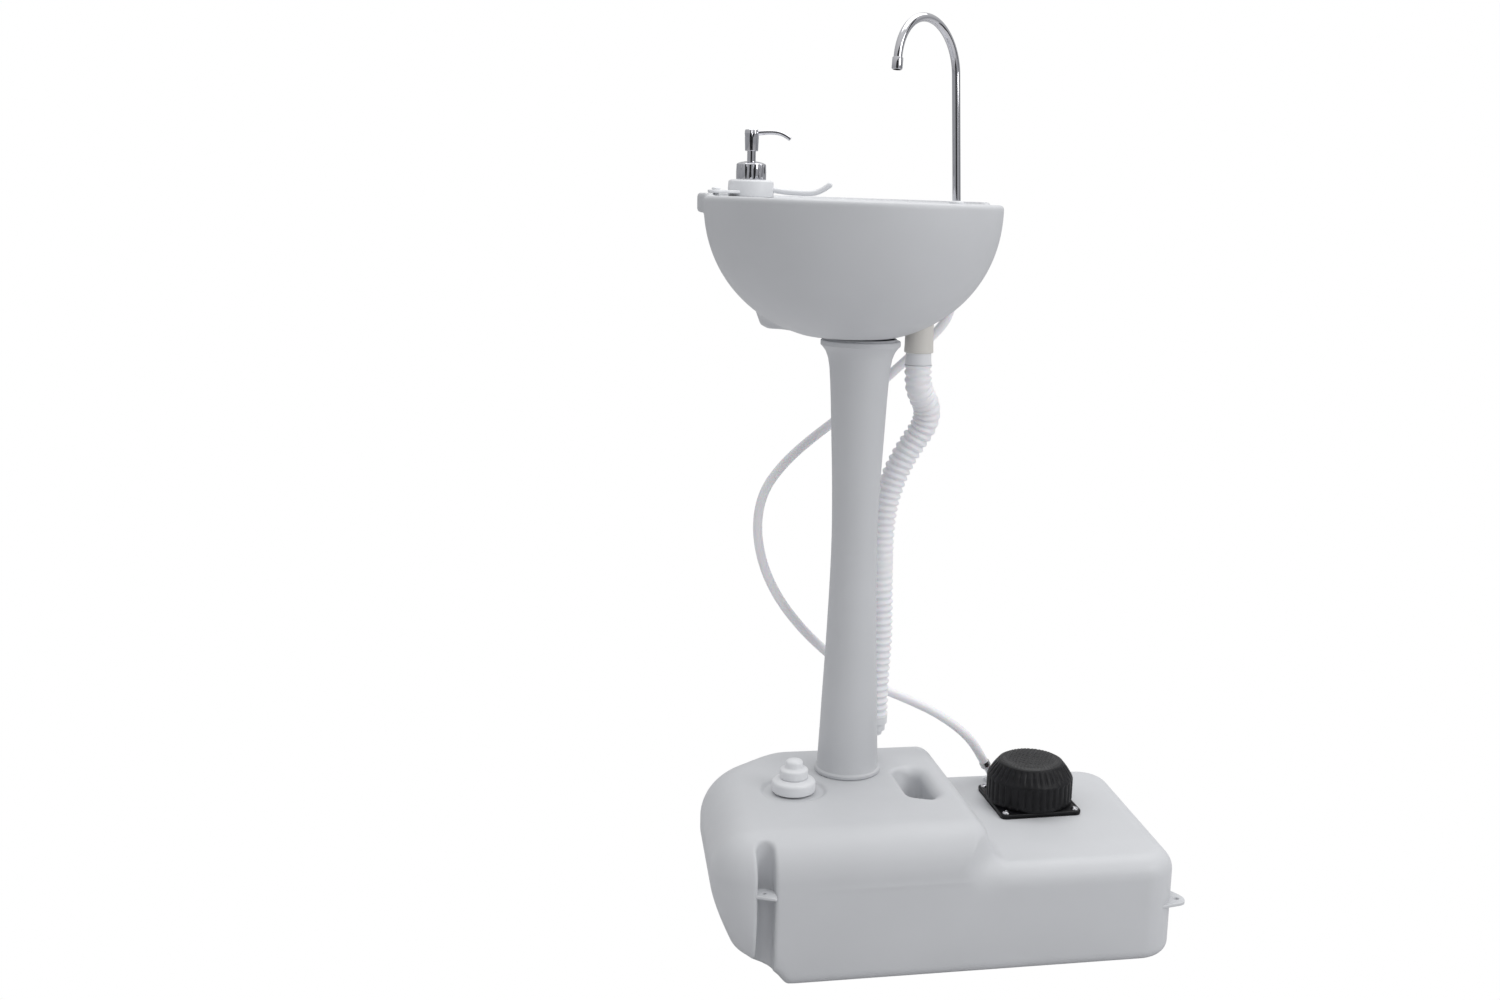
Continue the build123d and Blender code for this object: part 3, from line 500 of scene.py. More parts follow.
def field_mesh(field, low, high, cell):
    """Points and faces of a field's zero surface: one point in each cell that it crosses, pulled onto it."""
    low, high = np.asarray(low, dtype=float) - 2 * cell, np.asarray(high, dtype=float) + 2 * cell
    axes = [np.arange(a, b + cell, cell) for a, b in zip(low, high)]
    shape = tuple(len(a) for a in axes)
    values = np.empty(shape)
    grid_y, grid_z = np.meshgrid(axes[1], axes[2], indexing="ij")
    for i, x in enumerate(axes[0]):
        values[i] = field(np.full_like(grid_y, x), grid_y, grid_z)
    cells = tuple(n - 1 for n in shape)
    total = np.zeros(cells + (3,))
    count = np.zeros(cells)
    corners = [(i, j, k) for i in (0, 1) for j in (0, 1) for k in (0, 1)]

    def corner(offset):
        return values[tuple(slice(o, o + n) for o, n in zip(offset, cells))]

    for a in corners:
        for b in corners:
            if b <= a or sum(abs(p - q) for p, q in zip(a, b)) != 1:
                continue
            va, vb = corner(a), corner(b)
            crossed = (va < 0) != (vb < 0)
            t = va[crossed] / (va[crossed] - vb[crossed])
            total[crossed] += np.array(a) + t[:, None] * (np.array(b) - np.array(a))
            count[crossed] += 1
    used = count > 0
    index = np.full(cells, -1)
    index[used] = np.arange(used.sum())
    points = np.argwhere(used) + total[used] / count[used][:, None]
    points = points * cell + np.array([a[0] for a in axes])
    faces = []
    inside = values < 0
    for axis in range(3):
        u, v = [a for a in range(3) if a != axis]
        lower = [slice(1, -1)] * 3
        upper = [slice(1, -1)] * 3
        lower[axis], upper[axis] = slice(0, -1), slice(1, None)
        here, there = inside[tuple(lower)], inside[tuple(upper)]
        spots = np.argwhere(here != there) + np.array([0 if a == axis else 1 for a in range(3)])
        leaving = here[here != there]
        around = []
        for du, dv in ((-1, -1), (0, -1), (0, 0), (-1, 0)):
            spot = spots.copy()
            spot[:, u] += du
            spot[:, v] += dv
            around.append(index[tuple(spot.T)])
        quads = np.stack(around, axis=1)
        flip = leaving if axis != 1 else ~leaving
        quads[~flip] = quads[~flip][:, ::-1]
        faces.append(quads)
    faces = np.concatenate(faces)
    for _ in range(4):
        step = 0.05
        x, y, z = points.T
        f = field(x, y, z)
        slope = np.stack([(field(x + step, y, z) - field(x - step, y, z)),
                          (field(x, y + step, z) - field(x, y - step, z)),
                          (field(x, y, z + step) - field(x, y, z - step))], axis=1) / (2 * step)
        size = np.maximum((slope ** 2).sum(axis=1), 0.25)
        move = -(f / size)[:, None] * slope
        length = np.linalg.norm(move, axis=1)[:, None]
        points = points + move * np.minimum(1, 0.5 * cell / np.maximum(length, 1e-9))
    return points, faces


# ---- water tank -------------------------------------------------------------------------------
TANK_LOW, TANK_HIGH = box_mm("water_tank")
TANK_LEFT, TANK_FRONT = TANK_LOW[0], TANK_LOW[1]
TANK_RIGHT, TANK_BACK = 343.5, TANK_HIGH[1] + 3
TANK_CORNERS = (50, 42, 42, 102)
SKEW_X, SKEW_Y = 0.055, 0.028
TALL_TOP = 165.0
LOW_TOP = box_mm("pump_gasket")[0][2]
TALL_EDGE, LOW_EDGE = 47, 24
BULGE_Z = 104.0
LEAN = 42.0
STEP_TOP, STEP_RUN = 117.0, 15.0
FOOT_RISE, FOOT_EDGE = 13, 13
CAP_X, CAP_Y = middle("filler_cap")
DISH_R, DISH_DEPTH = 36, 3
HANDLE = (69.5, -52.0)
HANDLE_R, HANDLE_REACH, HANDLE_FLOOR = 18, 30, 108
GROOVE_X, GROOVE_END, GROOVE_R = -130.5, -189.0, 9.5
SEAM_Z, SEAM_HEIGHT = 110, 0.7
LEFT_EAR = [(-152, -199), (-121, -215.5), (-120, -195), (-132, -186), (-150, -190)]
RIGHT_EAR = [(307, -213.5), (350, -206), (354, -201), (355.5, -194), (353, -184), (344, -168),
             (320, -180)]


def tank_field(x, y, z):
    """The blow-moulded tank: a tall block at the left, a low one under the pump."""
    leaning = np.clip((BULGE_Z - z) / BULGE_Z, 0, 1.3)
    left = TANK_LEFT + LEAN * leaning ** 1.35
    skewed_x = x - SKEW_X * (y + 165)
    skewed_y = y + SKEW_Y * (x - 130)
    plan = plan_box(skewed_x, skewed_y, left, TANK_RIGHT, TANK_FRONT, TANK_BACK, TANK_CORNERS)

    # the sloping step between the two blocks, and the rounded edge round the top
    drop = TALL_TOP - LOW_TOP
    back_off = 4 * ease((-y - 150) / 62)
    step = x - STEP_TOP + back_off - STEP_RUN * (TALL_TOP - z) / drop
    step = step * math.cos(math.atan(STEP_RUN / drop))
    top = round_or(round_and(z - TALL_TOP, step, 14), z - LOW_TOP, 12)
    lowness = ease((x - 104) / 40)
    edge = TALL_EDGE + (LOW_EDGE - TALL_EDGE) * lowness
    edge = edge + (LOW_EDGE - edge) * ease((y + 70) / 120) * ease((x + 120) / 60)
    body = round_and(plan, top, edge)

    # the underside steps up twice at the left end
    raised = FOOT_RISE * ease((-104 - x) / 16) + FOOT_RISE * ease((-116 - x) / 34)
    body = round_and(body, raised - z, FOOT_EDGE)

    # upright groove in the front wall near the left corner
    groove = np.hypot(x - GROOVE_X, np.maximum(y - GROOVE_END, 0)) - GROOVE_R
    groove = round_and(groove, np.maximum(z - 163, 8 - z), 8)
    body = round_and(body, -groove, 3.5)

    # shallow dish round the filler cap
    dish = round_and(np.hypot(x - CAP_X, y - CAP_Y) - DISH_R, TALL_TOP - DISH_DEPTH - z, 2)
    body = round_and(body, -dish, 4)

    # handle pocket, narrower as it goes down
    depth = np.clip((TALL_TOP - z) / 50, 0, 1)
    pocket_x = HANDLE[0] - 1 + 10 * ease(depth)
    reach = np.maximum(np.abs(y - HANDLE[1]) - HANDLE_REACH + 8 * depth, 0)
    pocket = np.hypot(x - pocket_x, reach) - (HANDLE_R - 7 * depth)
    pocket = round_and(pocket, HANDLE_FLOOR - z, 10)
    body = round_and(body, -pocket, 4 + 9 * ease((x - 62) / 18))

    # faint seam along the front of the tall block
    seam = SEAM_HEIGHT * np.exp(-((z - SEAM_Z) / 2.2) ** 2)
    seam = seam * ease((104 - x) / 20) * ease((x + 118) / 6) * ease((-y - 205) / 4)
    return body - seam


def lug_field(corners, hole, z_mid, thick, hole_r):
    """Flat moulded ear: a rounded outline with a hole."""
    corners = np.array(corners, dtype=float)

    def field(x, y, z):
        outline = np.full_like(x, -1e9)
        for (ax, ay), (bx, by) in zip(corners, np.roll(corners, -1, axis=0)):
            length = math.hypot(bx - ax, by - ay)
            outline = round_and(outline, ((x - ax) * (by - ay) - (y - ay) * (bx - ax)) / length, 3.0)
        plate = round_and(outline, np.abs(z - z_mid) - thick / 2, 1.2)
        return round_and(plate, hole_r - np.hypot(x - hole[0], y - hole[1]), 0.6)
    return field


def make_tank():
    """Tank body with both ears."""
    low = (TANK_LEFT - 6, TANK_FRONT - 12, 0)
    high = (TANK_RIGHT + 18, TANK_BACK + 12, TALL_TOP)
    body = field_mesh(tank_field, low, high, 2.5)
    left_ear = lug_field(LEFT_EAR, hole=(-133, -199), z_mid=107, thick=3.5, hole_r=2.6)
    right_ear = lug_field(RIGHT_EAR, hole=(345, -195), z_mid=62, thick=4.0, hole_r=3.0)
    left = field_mesh(left_ear, (-154, -217, 103), (-118, -184, 111), 0.8)
    right = field_mesh(right_ear, (305, -215, 58), (358, -166, 66), 0.9)
    mesh_piece("tank_body", *joined(body, left, right), "water_tank")


# ---- column -------------------------------------------------------------------------------------
COLUMN_WALL = 2.6
COLUMN_SIDE = [(36.2, 172), (35.6, 190), (34.2, 220), (32.9, 253), (31.5, 284), (30.2, 314),
               (29.0, 345), (28.0, 375), (27.2, 403), (26.7, 430), (26.6, 452), (26.8, 470),
               (27.3, 492), (28.0, 515), (28.9, 538), (30.0, 562), (31.1, 586), (32.2, 610),
               (33.4, 631), (34.8, 648), (36.6, 658), (39.4, 665.5), (43.0, 670.5)]


def make_column():
    """Hollow waisted column: rolled foot, flared head with a dark gap under the basin."""
    foot = rounded([(33.5, 178, 0), (33.5, TALL_TOP, 0.8), (38.6, TALL_TOP, 2.2), (38.8, 169.8, 1.8),
                    (36.6, 171, 0.8), (36.2, 172, 0)])
    head = rounded([(43.0, 670.5, 0), (45.6, 673, 1.5), (45.6, 678.8, 1.6), (41.2, 678.8, 0.5),
                    (41.2, 681, 0.4), (38.2, 681, 0.6), (38.2, 668, 0)])
    side = [np.array(point) for point in COLUMN_SIDE]
    inside = [(r - COLUMN_WALL, z) for r, z in COLUMN_SIDE[::-1] if 182 < z < 662]
    outline = foot[:-1] + side + head[1:] + inside + [(33.5, 178)]
    mesh_piece("column_tube", *lathe(outline, 128), "column", sharp=50)


# ---- basin --------------------------------------------------------------------------------------
RIM_TOP = 834.0
BASIN = (-12.0, 3.0)
BASIN_R, BASIN_DEPTH, BASIN_Z, BASIN_FOOT = 167.0, 153.0, 830.0, 681.3
BASIN_POWER = 2.14
LIP_PROUD, LIP_LOW, LIP_HIGH, LIP_INSIDE = 7.2, 815.5, 836.8, 158
BOSS, BOSS_FOOT, BOSS_TOP, BOSS_HALF, BOSS_CORNER = (-77.0, 51.0), 687.5, 745, 27, 14
BOWL, BOWL_R, BOWL_FLOOR = (-12.0, -31.0), 118.0, 722.0
SUMP, SUMP_R, SUMP_TOP = (35.0, -5.0), 23, 26
FAR = 50.0
DRAIN_X, DRAIN_Y = middle("drain_collar")
FAUCET_X, FAUCET_Y = middle("faucet_washer")
SOAP_X, SOAP_Y = middle("soap_collar")


def basin_field(x, y, z):
    """Double-walled basin: round outside, bowl set forward, crescent deck behind it."""
    # the outside, a little squarer than an ellipsoid, cut flat over the column
    px, py = x - BASIN[0], y - BASIN[1]
    r = np.hypot(px, py)
    pz = np.minimum(z - BASIN_Z, 0)
    near = ((r / BASIN_R) ** BASIN_POWER + (-pz / BASIN_DEPTH) ** BASIN_POWER) ** (1 / BASIN_POWER)
    steep = np.sqrt((r / BASIN_R ** 2) ** 2 + (pz / BASIN_DEPTH ** 2) ** 2)
    outer = near * (near - 1) / np.maximum(steep, 1e-6)
    outer = round_and(outer, BASIN_FOOT - z, 3)

    # the thicker lip round the back
    angle = np.arctan2(py, px)
    back = np.minimum(ease((angle - 0.12) / 0.10), ease((3.02 - angle) / 0.06))
    lip = r - BASIN_R - LIP_PROUD * back
    lip = round_and(lip, np.maximum(LIP_LOW - z, z - LIP_HIGH), 4.0)
    lip = np.maximum(lip, LIP_INSIDE - r)

    # the boss on the underside, wider as it goes up
    bx, by = x - BOSS[0], y - BOSS[1]
    slope = np.clip((z - 688) / 60, -0.2, 1.2)
    boss = plan_box(bx, by, -BOSS_HALF - 22 * slope, BOSS_HALF + 10 * slope,
                    -BOSS_HALF - 8 * slope, BOSS_HALF + 8 * slope, (BOSS_CORNER,) * 4)
    boss = round_and(boss, BOSS_FOOT - z, 4)
    boss = np.maximum(boss, z - BOSS_TOP)
    outer = round_or(outer, boss, 6)
    outer = round_and(outer, z - RIM_TOP, 5)
    outer = round_or(outer, np.where(back > 0.01, lip, FAR), 2.0)

    # the bowl, drawn towards its sump, and the drain's well
    t = np.clip((RIM_TOP - z) / (RIM_TOP - BOWL_FLOOR), 0, 1.05)
    cx = BOWL[0] + (SUMP[0] - BOWL[0]) * t ** 1.6
    cy = BOWL[1] + (SUMP[1] - BOWL[1]) * t ** 1.6
    radius = BOWL_R * np.sqrt(1 - (0.84 * t) ** 2.2)
    bowl = (np.hypot(x - cx, y - cy) - radius) * 0.9
    bowl = round_and(bowl, BOWL_FLOOR - z, 22)
    well = round_and(np.hypot(x - DRAIN_X, y - DRAIN_Y) - SUMP_R, BOWL_FLOOR - z, 2)
    bowl = round_or(bowl, np.maximum(well, z - BOWL_FLOOR - SUMP_TOP), 8)
    return round_and(outer, -bowl, 7)


def make_basin():
    """Basin shell."""
    low, high = box_mm("basin")
    mesh_piece("basin_shell", *field_mesh(basin_field, (low[0], low[1], 681), high, 2.5), "basin")


# ---- small turned parts -------------------------------------------------------------------------
PUMP_STROKE, SOAP_STROKE = 22, 11
BOOT_RIBS = 36
DOT_PITCH, DOT_R, DOTS_R = 5.2, 1.75, 27
DOT_ROWS = 0.866
TREAD_GROOVES, TREAD_GROOVES_R = 48, 29.5
SCREW_REACH = 43


def turned_piece(name, corners, node, segments=96, wave=None, axis=None):
    """Part turned from (radius, height, corner radius) corners, on its CAD node's axis or another."""
    x, y = axis or middle(node)
    return mesh_piece(name, *lathe(rounded(corners), segments, x, y, wave), node, sharp=60)


def make_caps():
    """Smooth ring cap on the filler neck, and the stepped vent cap with its domed nub."""
    ring_cap = [(20.6, 164, 0), (20.6, 163.6, 0.3), (25, 163.6, 2.4), (25.2, 176.5, 4.2),
                (17.5, 179.6, 1.5), (0, 179.4, 0)]
    turned_piece("filler_cap_ring", ring_cap, "filler_cap")
    vent_cap = [(9, 179.8, 0), (16.2, 179.8, 1.2), (16.6, 190.2, 3.0), (10.6, 192.4, 1.8),
                (10, 200, 3.6), (0, 203, 0)]
    turned_piece("vent_cap_knob", vent_cap, "vent_cap")


def make_boot():
    """Rubber boot with upright ribs and a fluted shoulder."""
    x, y = middle("pump_boot")
    low, high = box_mm("pump_boot")
    radius, tread = half_width("pump_boot"), half_width("pump_tread")
    foot, top = low[2], high[2]

    def ribs(angle, r, z):
        if r <= tread:
            return r
        wall = rise(z - foot - 3, 3) * rise(top - 18 - z, 3)
        shoulder = rise(z - top + 17, 4) * rise(top - 1.5 - z, 3)
        flute = (0.5 - 0.5 * math.cos(BOOT_RIBS * angle)) ** 3
        return r - 1.7 * wall * flute - 1.5 * shoulder * flute

    outline = rounded([(radius - 5, foot, 0), (radius - 0.5, foot, 1.5), (radius, foot + 4, 2),
                       (radius, top - 19, 5), (radius - 7, top - 8, 3),
                       (tread + 1.2, top - 0.5, 1.5), (tread - 4, top - 0.3, 0)])
    fine = []
    for a, b in zip(outline, outline[1:]):
        steps = max(1, int(np.linalg.norm(b - a) / 1.5))
        fine += [a + (b - a) * k / steps for k in range(steps)]
    fine.append(outline[-1])
    points, faces = lathe(fine, 360, x, y, ribs)
    press_piece("pump_boot_ribbed", points, faces, "pump_boot", "pump_press", PUMP_STROKE, 70)


def make_tread():
    """Domed tread with rows of round dots inside a ring of radial grooves."""
    x, y = middle("pump_boot")
    radius = half_width("pump_tread")
    top = box_mm("pump_tread")[1][2] - 0.6
    rim = box_mm("pump_boot")[1][2] - 0.2
    dome = [(r, top - 4.2 * (r / radius) ** 2) for r in np.arange(0, radius - 2.9, 0.55)]
    edge = [(radius - 1.6, top - 4.7), (radius - 0.4, top - 5.4), (radius, rim)]
    points, faces = lathe(dome + edge, 240, x, y)
    raised = []
    for px, py, pz in points:
        dx, dy = px - x, py - y
        r = math.hypot(dx, dy)
        row = round(dy / (DOT_PITCH * DOT_ROWS))
        shifted = dx - 0.5 * DOT_PITCH * (row % 2)
        off_x = shifted - DOT_PITCH * round(shifted / DOT_PITCH)
        off_y = dy - row * DOT_PITCH * DOT_ROWS
        dot = 1.2 * rise(DOT_R - math.hypot(off_x, off_y), 0.7) if r < DOTS_R else 0.0
        radial = 0.5 - 0.5 * math.cos(TREAD_GROOVES * math.atan2(dy, dx))
        groove = -0.9 * radial ** 2 if TREAD_GROOVES_R < r < radius - 3 else 0.0
        raised.append((px, py, pz + dot + groove))
    upward = [face[::-1] for face in faces]
    mesh_piece("pump_tread_dotted", raised, upward, "pump_tread", MATERIALS["tread_rubber"])


def make_flange():
    """Square flange plate with a line sunk round its edge, and a screw at each corner."""
    low, high = box_mm("pump_flange")
    x, y = middle("pump_flange")
    half = half_width("pump_flange")
    top = high[2]

    def plate(px, py, pz):
        outline = plan_box(px, py, x - half, x + half, y - half, y + half, (6, 6, 6, 6))
        flat = np.abs(pz - (low[2] + top) / 2) - (top - low[2]) / 2
        line = round_and(np.abs(outline + 3.5) - 0.5, top - 0.8 - pz, 0.3)
        return round_and(round_and(outline, flat, 1.0), -line, 0.4)

    mesh_piece("pump_flange_plate", *field_mesh(plate, low, high, 1.0), "pump_flange")
    screw = rounded([(4.6, top - 0.4, 0), (4.4, top + 0.9, 0.5), (3.0, top + 2.3, 1.0),
                     (1.2, top + 2.5, 0.2), (0.8, top + 1.4, 0.2), (0, top + 1.2, 0)])
    screws = [lathe(screw, 32, x + side_x * SCREW_REACH, y + side_y * SCREW_REACH)
              for side_x in (-1, 1) for side_y in (-1, 1)]
    mesh_piece("pump_screw_heads", *joined(*screws), "pump_screws", sharp=60)


def make_springs():
    """Coil springs of the foot pump and the soap pump."""
    for node, joint, stroke, wire, turns in (("pump_spring", "pump_press", PUMP_STROKE, 1.2, 5.5),
                                             ("soap_spring", "soap_press", SOAP_STROKE, 0.6, 8)):
        low, high = box_mm(node)
        x, y = middle(node)
        radius = half_width(node) - wire
        t = np.linspace(0, 1, int(turns * 40))
        angle = 2 * math.pi * turns * t
        height = low[2] + wire + (high[2] - low[2] - 2 * wire) * t
        helix = np.stack([x + radius * np.cos(angle), y + radius * np.sin(angle), height], axis=1)
        press_piece(node + "_coil", *tube(helix, wire * 0.98, 12), node, joint, stroke)


# ---- hoses --------------------------------------------------------------------------------------
# Both routes are in metres, from their upper or pump end to the other.
DRAIN_ROUTE = [(0.0715, 0.0105, 0.650), (0.0715, 0.0105, 0.632), (0.077, 0.0155, 0.616),
               (0.089, 0.024, 0.599), (0.0885, 0.0305, 0.578), (0.076, 0.036, 0.556),
               (0.065, 0.0395, 0.536), (0.054, 0.0425, 0.509), (0.045, 0.0445, 0.474),
               (0.0425, 0.0455, 0.426), (0.0445, 0.046, 0.370), (0.046, 0.0455, 0.314),
               (0.043, 0.0453, 0.262), (0.043, 0.0453, 0.216)]
WATER_ROUTE = [(0.1915, 0.047, 0.1395), (0.181, 0.048, 0.159), (0.168, 0.049, 0.1775),
               (0.150, 0.0515, 0.194), (0.124, 0.057, 0.2115), (0.092, 0.066, 0.226),
               (0.056, 0.076, 0.240), (0.018, 0.074, 0.264), (-0.016, 0.068, 0.292),
               (-0.048, 0.064, 0.324), (-0.077, 0.062, 0.362), (-0.097, 0.063, 0.404),
               (-0.105, 0.065, 0.450), (-0.098, 0.066, 0.491), (-0.076, 0.069, 0.522),
               (-0.046, 0.073, 0.549), (-0.008, 0.076, 0.577), (0.032, 0.075, 0.610),
               (0.068, 0.069, 0.645), (0.098, 0.063, 0.675), (0.113, 0.0608, 0.691),
               (0.121, 0.0602, 0.706), (0.124, 0.060, 0.722), (0.124, 0.060, 0.738)]
HOSE_R, HOSE_PITCH, HOSE_GROOVE = 15.9, 8.3, 2.9
HOSE_STEP = 0.85
CALM_Z, CALM_REACH = 408, 26


def route_curve(name, route, bevel=0.0):
    """Open NURBS curve that runs from the first point of a route to its last."""
    data = bpy.data.curves.new(name, "CURVE")
    data.dimensions = "3D"
    data.resolution_u = 16
    spline = data.splines.new("NURBS")
    spline.points.add(len(route) - 1)
    for point, place in zip(spline.points, route):
        point.co = (*place, 1)
    spline.order_u = 3
    spline.use_endpoint_u = True
    data.bevel_depth = bevel
    data.bevel_resolution = 8
    data.use_fill_caps = bevel > 0
    curve = bpy.data.objects.new(name, data)
    bpy.context.scene.collection.objects.link(curve)
    return curve


def route_points(route):
    """Points along a route's curve, in order."""
    guide = route_curve("guide", route)
    bpy.context.view_layer.update()
    mesh = bpy.data.meshes.new_from_object(guide.evaluated_get(bpy.context.evaluated_depsgraph_get()))
    points = [tuple(v.co) for v in mesh.vertices]
    bpy.data.meshes.remove(mesh)
    bpy.data.curves.remove(guide.data)
    return points


def make_water_hose():
    """Plain vinyl hose from the pump's barb up behind the column to the spout's shank."""
    hose = route_curve("water_hose_vinyl", WATER_ROUTE, 0.0055)
    hose.data.materials.append(MATERIALS["hose_white"])
    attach(hose, body_of("water_hose"))
    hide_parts("water_hose")
    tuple(WATER_ROUTE[0])


def make_drain_hose():
    """Corrugated drain hose with its collar, smooth cuff and end fitting."""
    path = np.array(route_points(DRAIN_ROUTE)) / MM
    steps = np.linalg.norm(np.diff(path, axis=0), axis=1)
    along = np.concatenate([[0], np.cumsum(steps)])
    total = along[-1]
    places = np.linspace(0, total, int(total / HOSE_STEP))
    line = smoothed(resampled(path, along, places), 12)
    tangents, across, over = frames_along(line)
    bend = np.gradient(tangents, axis=0) / HOSE_STEP
    bend = np.stack([running_mean(bend[:, i], 6) for i in range(3)], axis=1)
    segments = 64
    turn = np.linspace(0, 2 * math.pi, segments, endpoint=False)
    out = np.cos(turn)[None, :, None] * across[:, None] + np.sin(turn)[None, :, None] * over[:, None]
    outward = -(out * bend[:, None]).sum(axis=2)

    # grooves, fainter half way down, gone at both ends, stretched flat outside a bend
    valley = 1 - (0.5 + 0.5 * np.cos(2 * math.pi * places / HOSE_PITCH)) ** 0.7
    calm = np.exp(-((line[:, 2] - CALM_Z) / CALM_REACH) ** 2)
    ends = np.clip(np.minimum(places, total - places) / 6, 0, 1)
    depth = HOSE_GROOVE * (1 - 0.8 * calm) * ends
    stretched = np.clip(1 - 26 * np.maximum(outward, 0), 0.18, 1)
    pinched = np.clip(1 + 14 * np.maximum(-outward, 0), 1, 1.35)
    radii = HOSE_R - depth[:, None] * valley[:, None] * (stretched * pinched)
    rings = line[:, None] + radii[:, :, None] * out
    points = [tuple(p) for p in rings.reshape(-1, 3)]
    faces = ring_faces(len(line), segments)
    hose = mesh_piece("drain_hose_corrugated", points, faces, "drain_hose")

    axis = (DRAIN_X, DRAIN_Y)
    nut = [(12.5, 664, 0), (17, 664, 1.5), (16.6, 672, 3), (16.2, 698, 2), (17.2, 701, 1),
           (17.2, 706, 1), (12.5, 706, 0)]
    turned_piece("drain_collar_nut", nut, "drain_collar", axis=axis)
    sleeve = [(11, 668, 0), (14.6, 664, 0.5), (15, 655, 2), (15.4, 650, 1.2), (12, 649, 0)]
    cuff = turned_piece("drain_cuff_smooth", sleeve, "drain_cuff", axis=axis)
    end_x, end_y, _ = DRAIN_ROUTE[-1]
    plug = [(0, 192, 0), (9.5, 192, 1), (9.8, 197, 1), (13.2, 198, 0.8), (13.2, 206, 0.8),
            (15.6, 207, 0.8), (15.6, 216, 1), (9, 217, 0)]
    end = turned_piece("drain_hose_plug", plug, "drain_hose_end", axis=(end_x / MM, end_y / MM))
    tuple(DRAIN_ROUTE[0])


# ---- faucet ---------------------------------------------------------------------------------------
SPOUT_AIM = math.atan2(-0.634, -0.773)
SPOUT_R, SPOUT_LEAN = 4.8, 0.05
ARC_Z, ARC_R, ARC_TURN, ARC_STEPS = 980.0, 57.0, math.radians(172), 60


def make_faucet():
    """Gooseneck spout with a short tip, on a white washer."""
    base_z = box_mm("faucet_spout")[0][2]
    path = [(FAUCET_X, FAUCET_Y, z) for z in np.linspace(base_z, ARC_Z, 24)]
    for k in range(1, ARC_STEPS + 1):
        angle = ARC_TURN * k / ARC_STEPS
        reach, height = ARC_R * (1 - math.cos(angle)), ARC_Z + ARC_R * math.sin(angle)
        path.append((FAUCET_X + reach * math.cos(SPOUT_AIM), FAUCET_Y + reach * math.sin(SPOUT_AIM), height))
    path = [(x - SPOUT_LEAN * max(0, z - RIM_TOP), y, z) for x, y, z in path]
    mesh_piece("spout_tube", *tube(path, SPOUT_R, 48, False), "faucet_spout", sharp=40)

    end, back = np.array(path[-1]), np.array(path[-2])
    way = (end - back) / np.linalg.norm(end - back)
    _, across, over = frames_along([end, end + way])
    tip = [(-1.5, 4.9), (-1.2, 5.6), (-0.4, 6.0), (10.4, 6.0), (11.6, 5.6), (12.0, 4.9),
           (11.9, 4.2), (8.0, 4.1), (7.9, 0.2)]
    segments = 48
    points = []
    for distance, r in tip:
        for k in range(segments):
            angle = 2 * math.pi * k / segments
            spoke = math.cos(angle) * across[0] + math.sin(angle) * over[0]
            points.append(tuple(end + way * distance + r * spoke))
    mesh_piece("spout_tip_ring", points, ring_faces(len(tip), segments), "spout_tip", sharp=40)
    washer = [(4.9, 833.8, 0), (8.4, 833.8, 0.6), (8.2, 836.2, 1.0), (5.0, 837.4, 0)]
    turned_piece("spout_washer", washer, "faucet_washer", axis=(FAUCET_X, FAUCET_Y))


# ---- soap dispenser and towel holder ------------------------------------------------------------------
COLLAR_FLUTES = 14
NOZZLE_AIM = math.radians(-18)
PLATE_Z, PLATE_HALF = 838.8, 1.8


def make_soap():
    """Fluted chrome collar, thin stem, notched head and bent nozzle."""
    axis = (SOAP_X, SOAP_Y)

    def flutes(angle, r, z):
        if r < 12 or z > 871:
            return r
        fade = rise(z - 854.5, 1.5) * rise(870.5 - z, 2)
        return r - 1.3 * fade * (0.5 - 0.5 * math.cos(COLLAR_FLUTES * angle)) ** 2

    collar = [(15, 853, 0), (17, 853, 0.8), (17.2, 862, 0), (16.8, 870.6, 2.0), (12.5, 872.4, 1.5),
              (6.2, 873.6, 0.8), (5.1, 873.2, 0)]
    turned_piece("soap_collar_fluted", collar, "soap_collar", 216, flutes, axis)
    turned_piece("soap_stem_rod", [(0, 850, 0), (4.9, 850, 0), (4.9, 886, 0)], "soap_stem", 48, axis=axis)

    def crown(angle, r, z):
        if z > 904 and r > 3:
            return r - 1.2 * max(0.0, math.cos(4 * angle)) ** 6
        return r - 0.35 * (0.5 - 0.5 * math.cos(12 * angle)) if r > 5 and 888 < z < 903 else r

    head = [(5.3, 885, 0), (7.4, 885, 0.8), (8.0, 900, 1), (8.2, 904.5, 0.6), (7.8, 908.8, 1.2),
            (4.0, 909, 0.5), (3.4, 907.6, 0.4), (0, 907.6, 0)]
    turned_piece("soap_head_block", head, "soap_head", 96, crown, axis)
    run = [(5.5, 905.0), (9, 905.6), (14, 906.2), (20, 906.6), (26, 906.6), (31, 906.0),
           (35.5, 904.6), (39.5, 902.6), (42.5, 900.6), (44, 899.2)]
    path = np.array([(SOAP_X + r * math.cos(NOZZLE_AIM), SOAP_Y + r * math.sin(NOZZLE_AIM), z) for r, z in run])
    count = 46
    pipe = tube(fine_line(path, count, 6), np.linspace(3.0, 2.3, count), 32)
    mesh_piece("soap_nozzle_pipe", *pipe, "soap_nozzle", sharp=50)


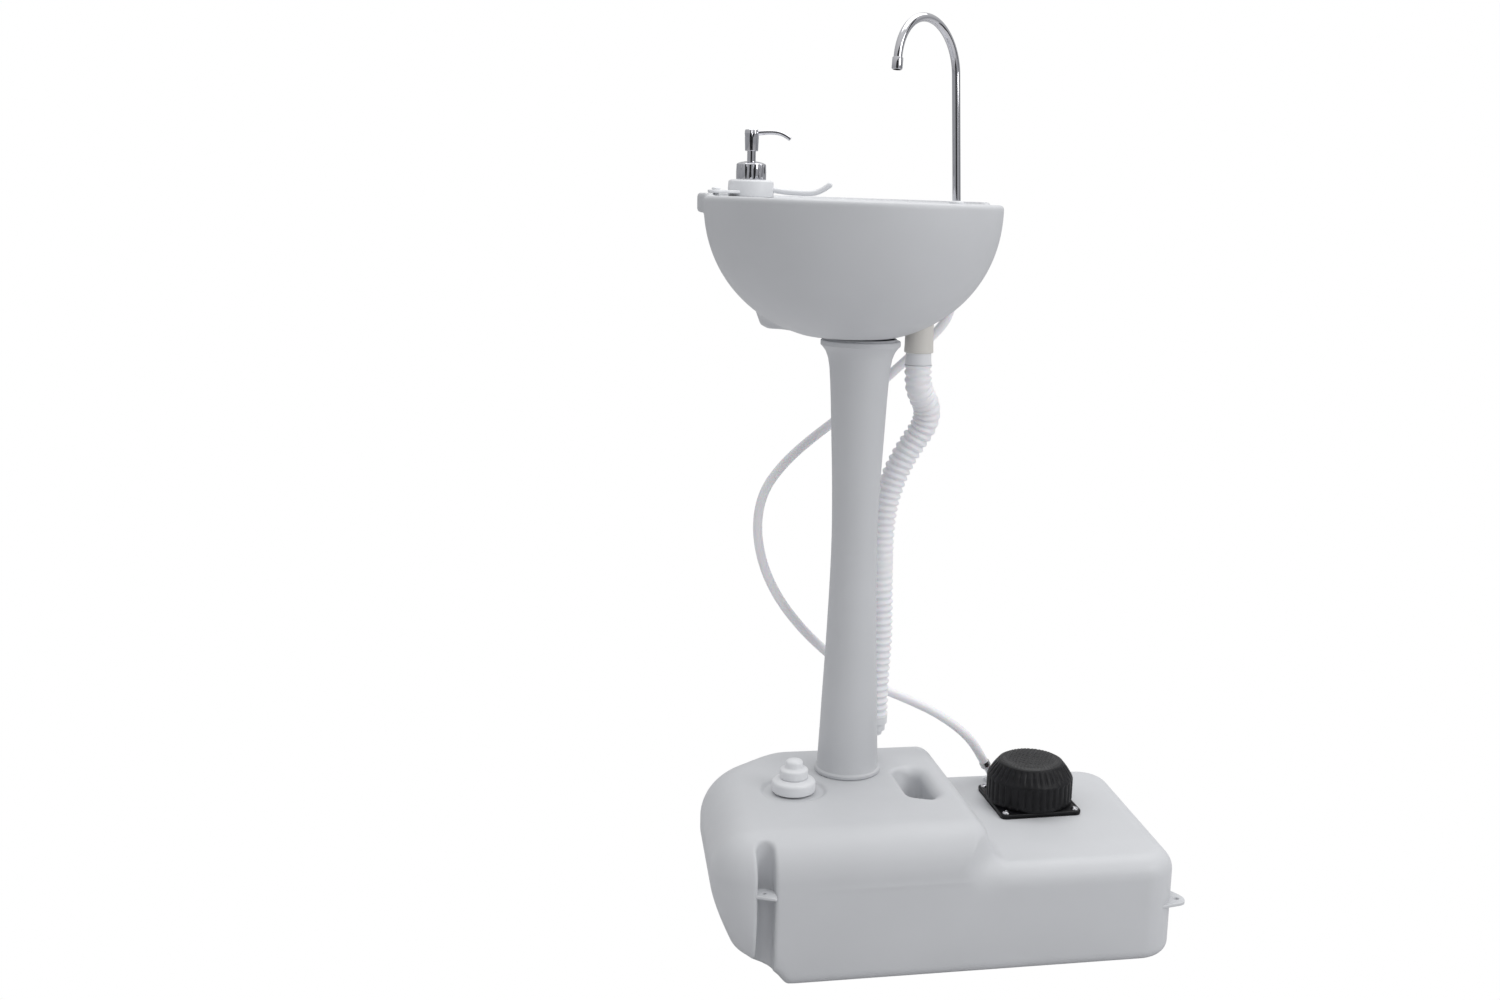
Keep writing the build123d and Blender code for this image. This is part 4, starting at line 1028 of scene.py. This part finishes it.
def make_towel_holder():
    """White ring under the soap dispenser, its tab with a peg, and the curled arm."""
    x, y = SOAP_X, SOAP_Y
    ring_outline = [(15.4, 834, 0), (26, 834, 0.8), (26.2, 842, 0), (25.6, 851.6, 2.2), (22, 853, 1.2),
                    (15.4, 853, 0)]
    ring_shape = lathe(rounded(ring_outline), 96, x, y)
    peg_x, peg_y = middle("towel_holder_peg")
    tip_x, tip_y = peg_x - 1, peg_y - 1
    run_x, run_y = tip_x - x, tip_y - y

    def tab(px, py, pz):
        t = np.clip(((px - x) * run_x + (py - y) * run_y) / (run_x ** 2 + run_y ** 2), 0, 1)
        wide = np.hypot(px - x - t * run_x, py - y - t * run_y) - (14 - 5.5 * t)
        solid = round_and(wide, np.abs(pz - PLATE_Z) - PLATE_HALF, 1.2)
        return np.maximum(solid, 17 - np.hypot(px - x, py - y))

    plate = field_mesh(tab, (tip_x - 12, tip_y - 12, 836), (x + 16, y + 16, 842), 0.8)
    route = np.array([(-98, 68.5, 843.5), (-90, 66.6, 842), (-81, 64.8, 840.9), (-72, 63, 840.4),
                      (-60, 60, 840), (-48, 57, 840.2), (-41, 55.3, 842.6), (-35, 53.6, 846.2),
                      (-30.5, 52.4, 849.6), (-27.5, 51.6, 851.6)])
    count = 64
    radii = np.full(count, 3.2)
    radii[-4:] = (3.05, 2.6, 1.8, 0.6)
    arm = tube(fine_line(route, count, 10), radii, 32)
    mesh_piece("towel_holder_arm", *joined(ring_shape, plate, arm), "towel_holder", sharp=60)
    peg = [(3, 834, 0), (3, 840.5, 0), (5, 840.6, 0.6), (4.8, 843, 1.2), (0, 843.6, 0)]
    turned_piece("towel_peg_head", peg, "towel_holder_peg", 48)


def main():
    """Camera, lights, the dressed CAD frame and every piece that is seen."""
    make_camera()
    make_world()
    make_stage()
    dress_cad()
    area_light("key", (2.0, -2.0, 1.9), (0.05, 0, 0.5), (1.5, 1.5), 24)
    area_light("top", (0.4, 0.5, 2.9), (0.05, 0, 0.3), (2.4, 2.4), 37)
    make_tank()
    make_column()
    make_basin()
    make_caps()
    make_boot()
    make_tread()
    make_flange()
    make_springs()
    make_water_hose()
    make_drain_hose()
    make_faucet()
    make_soap()
    make_towel_holder()


main()
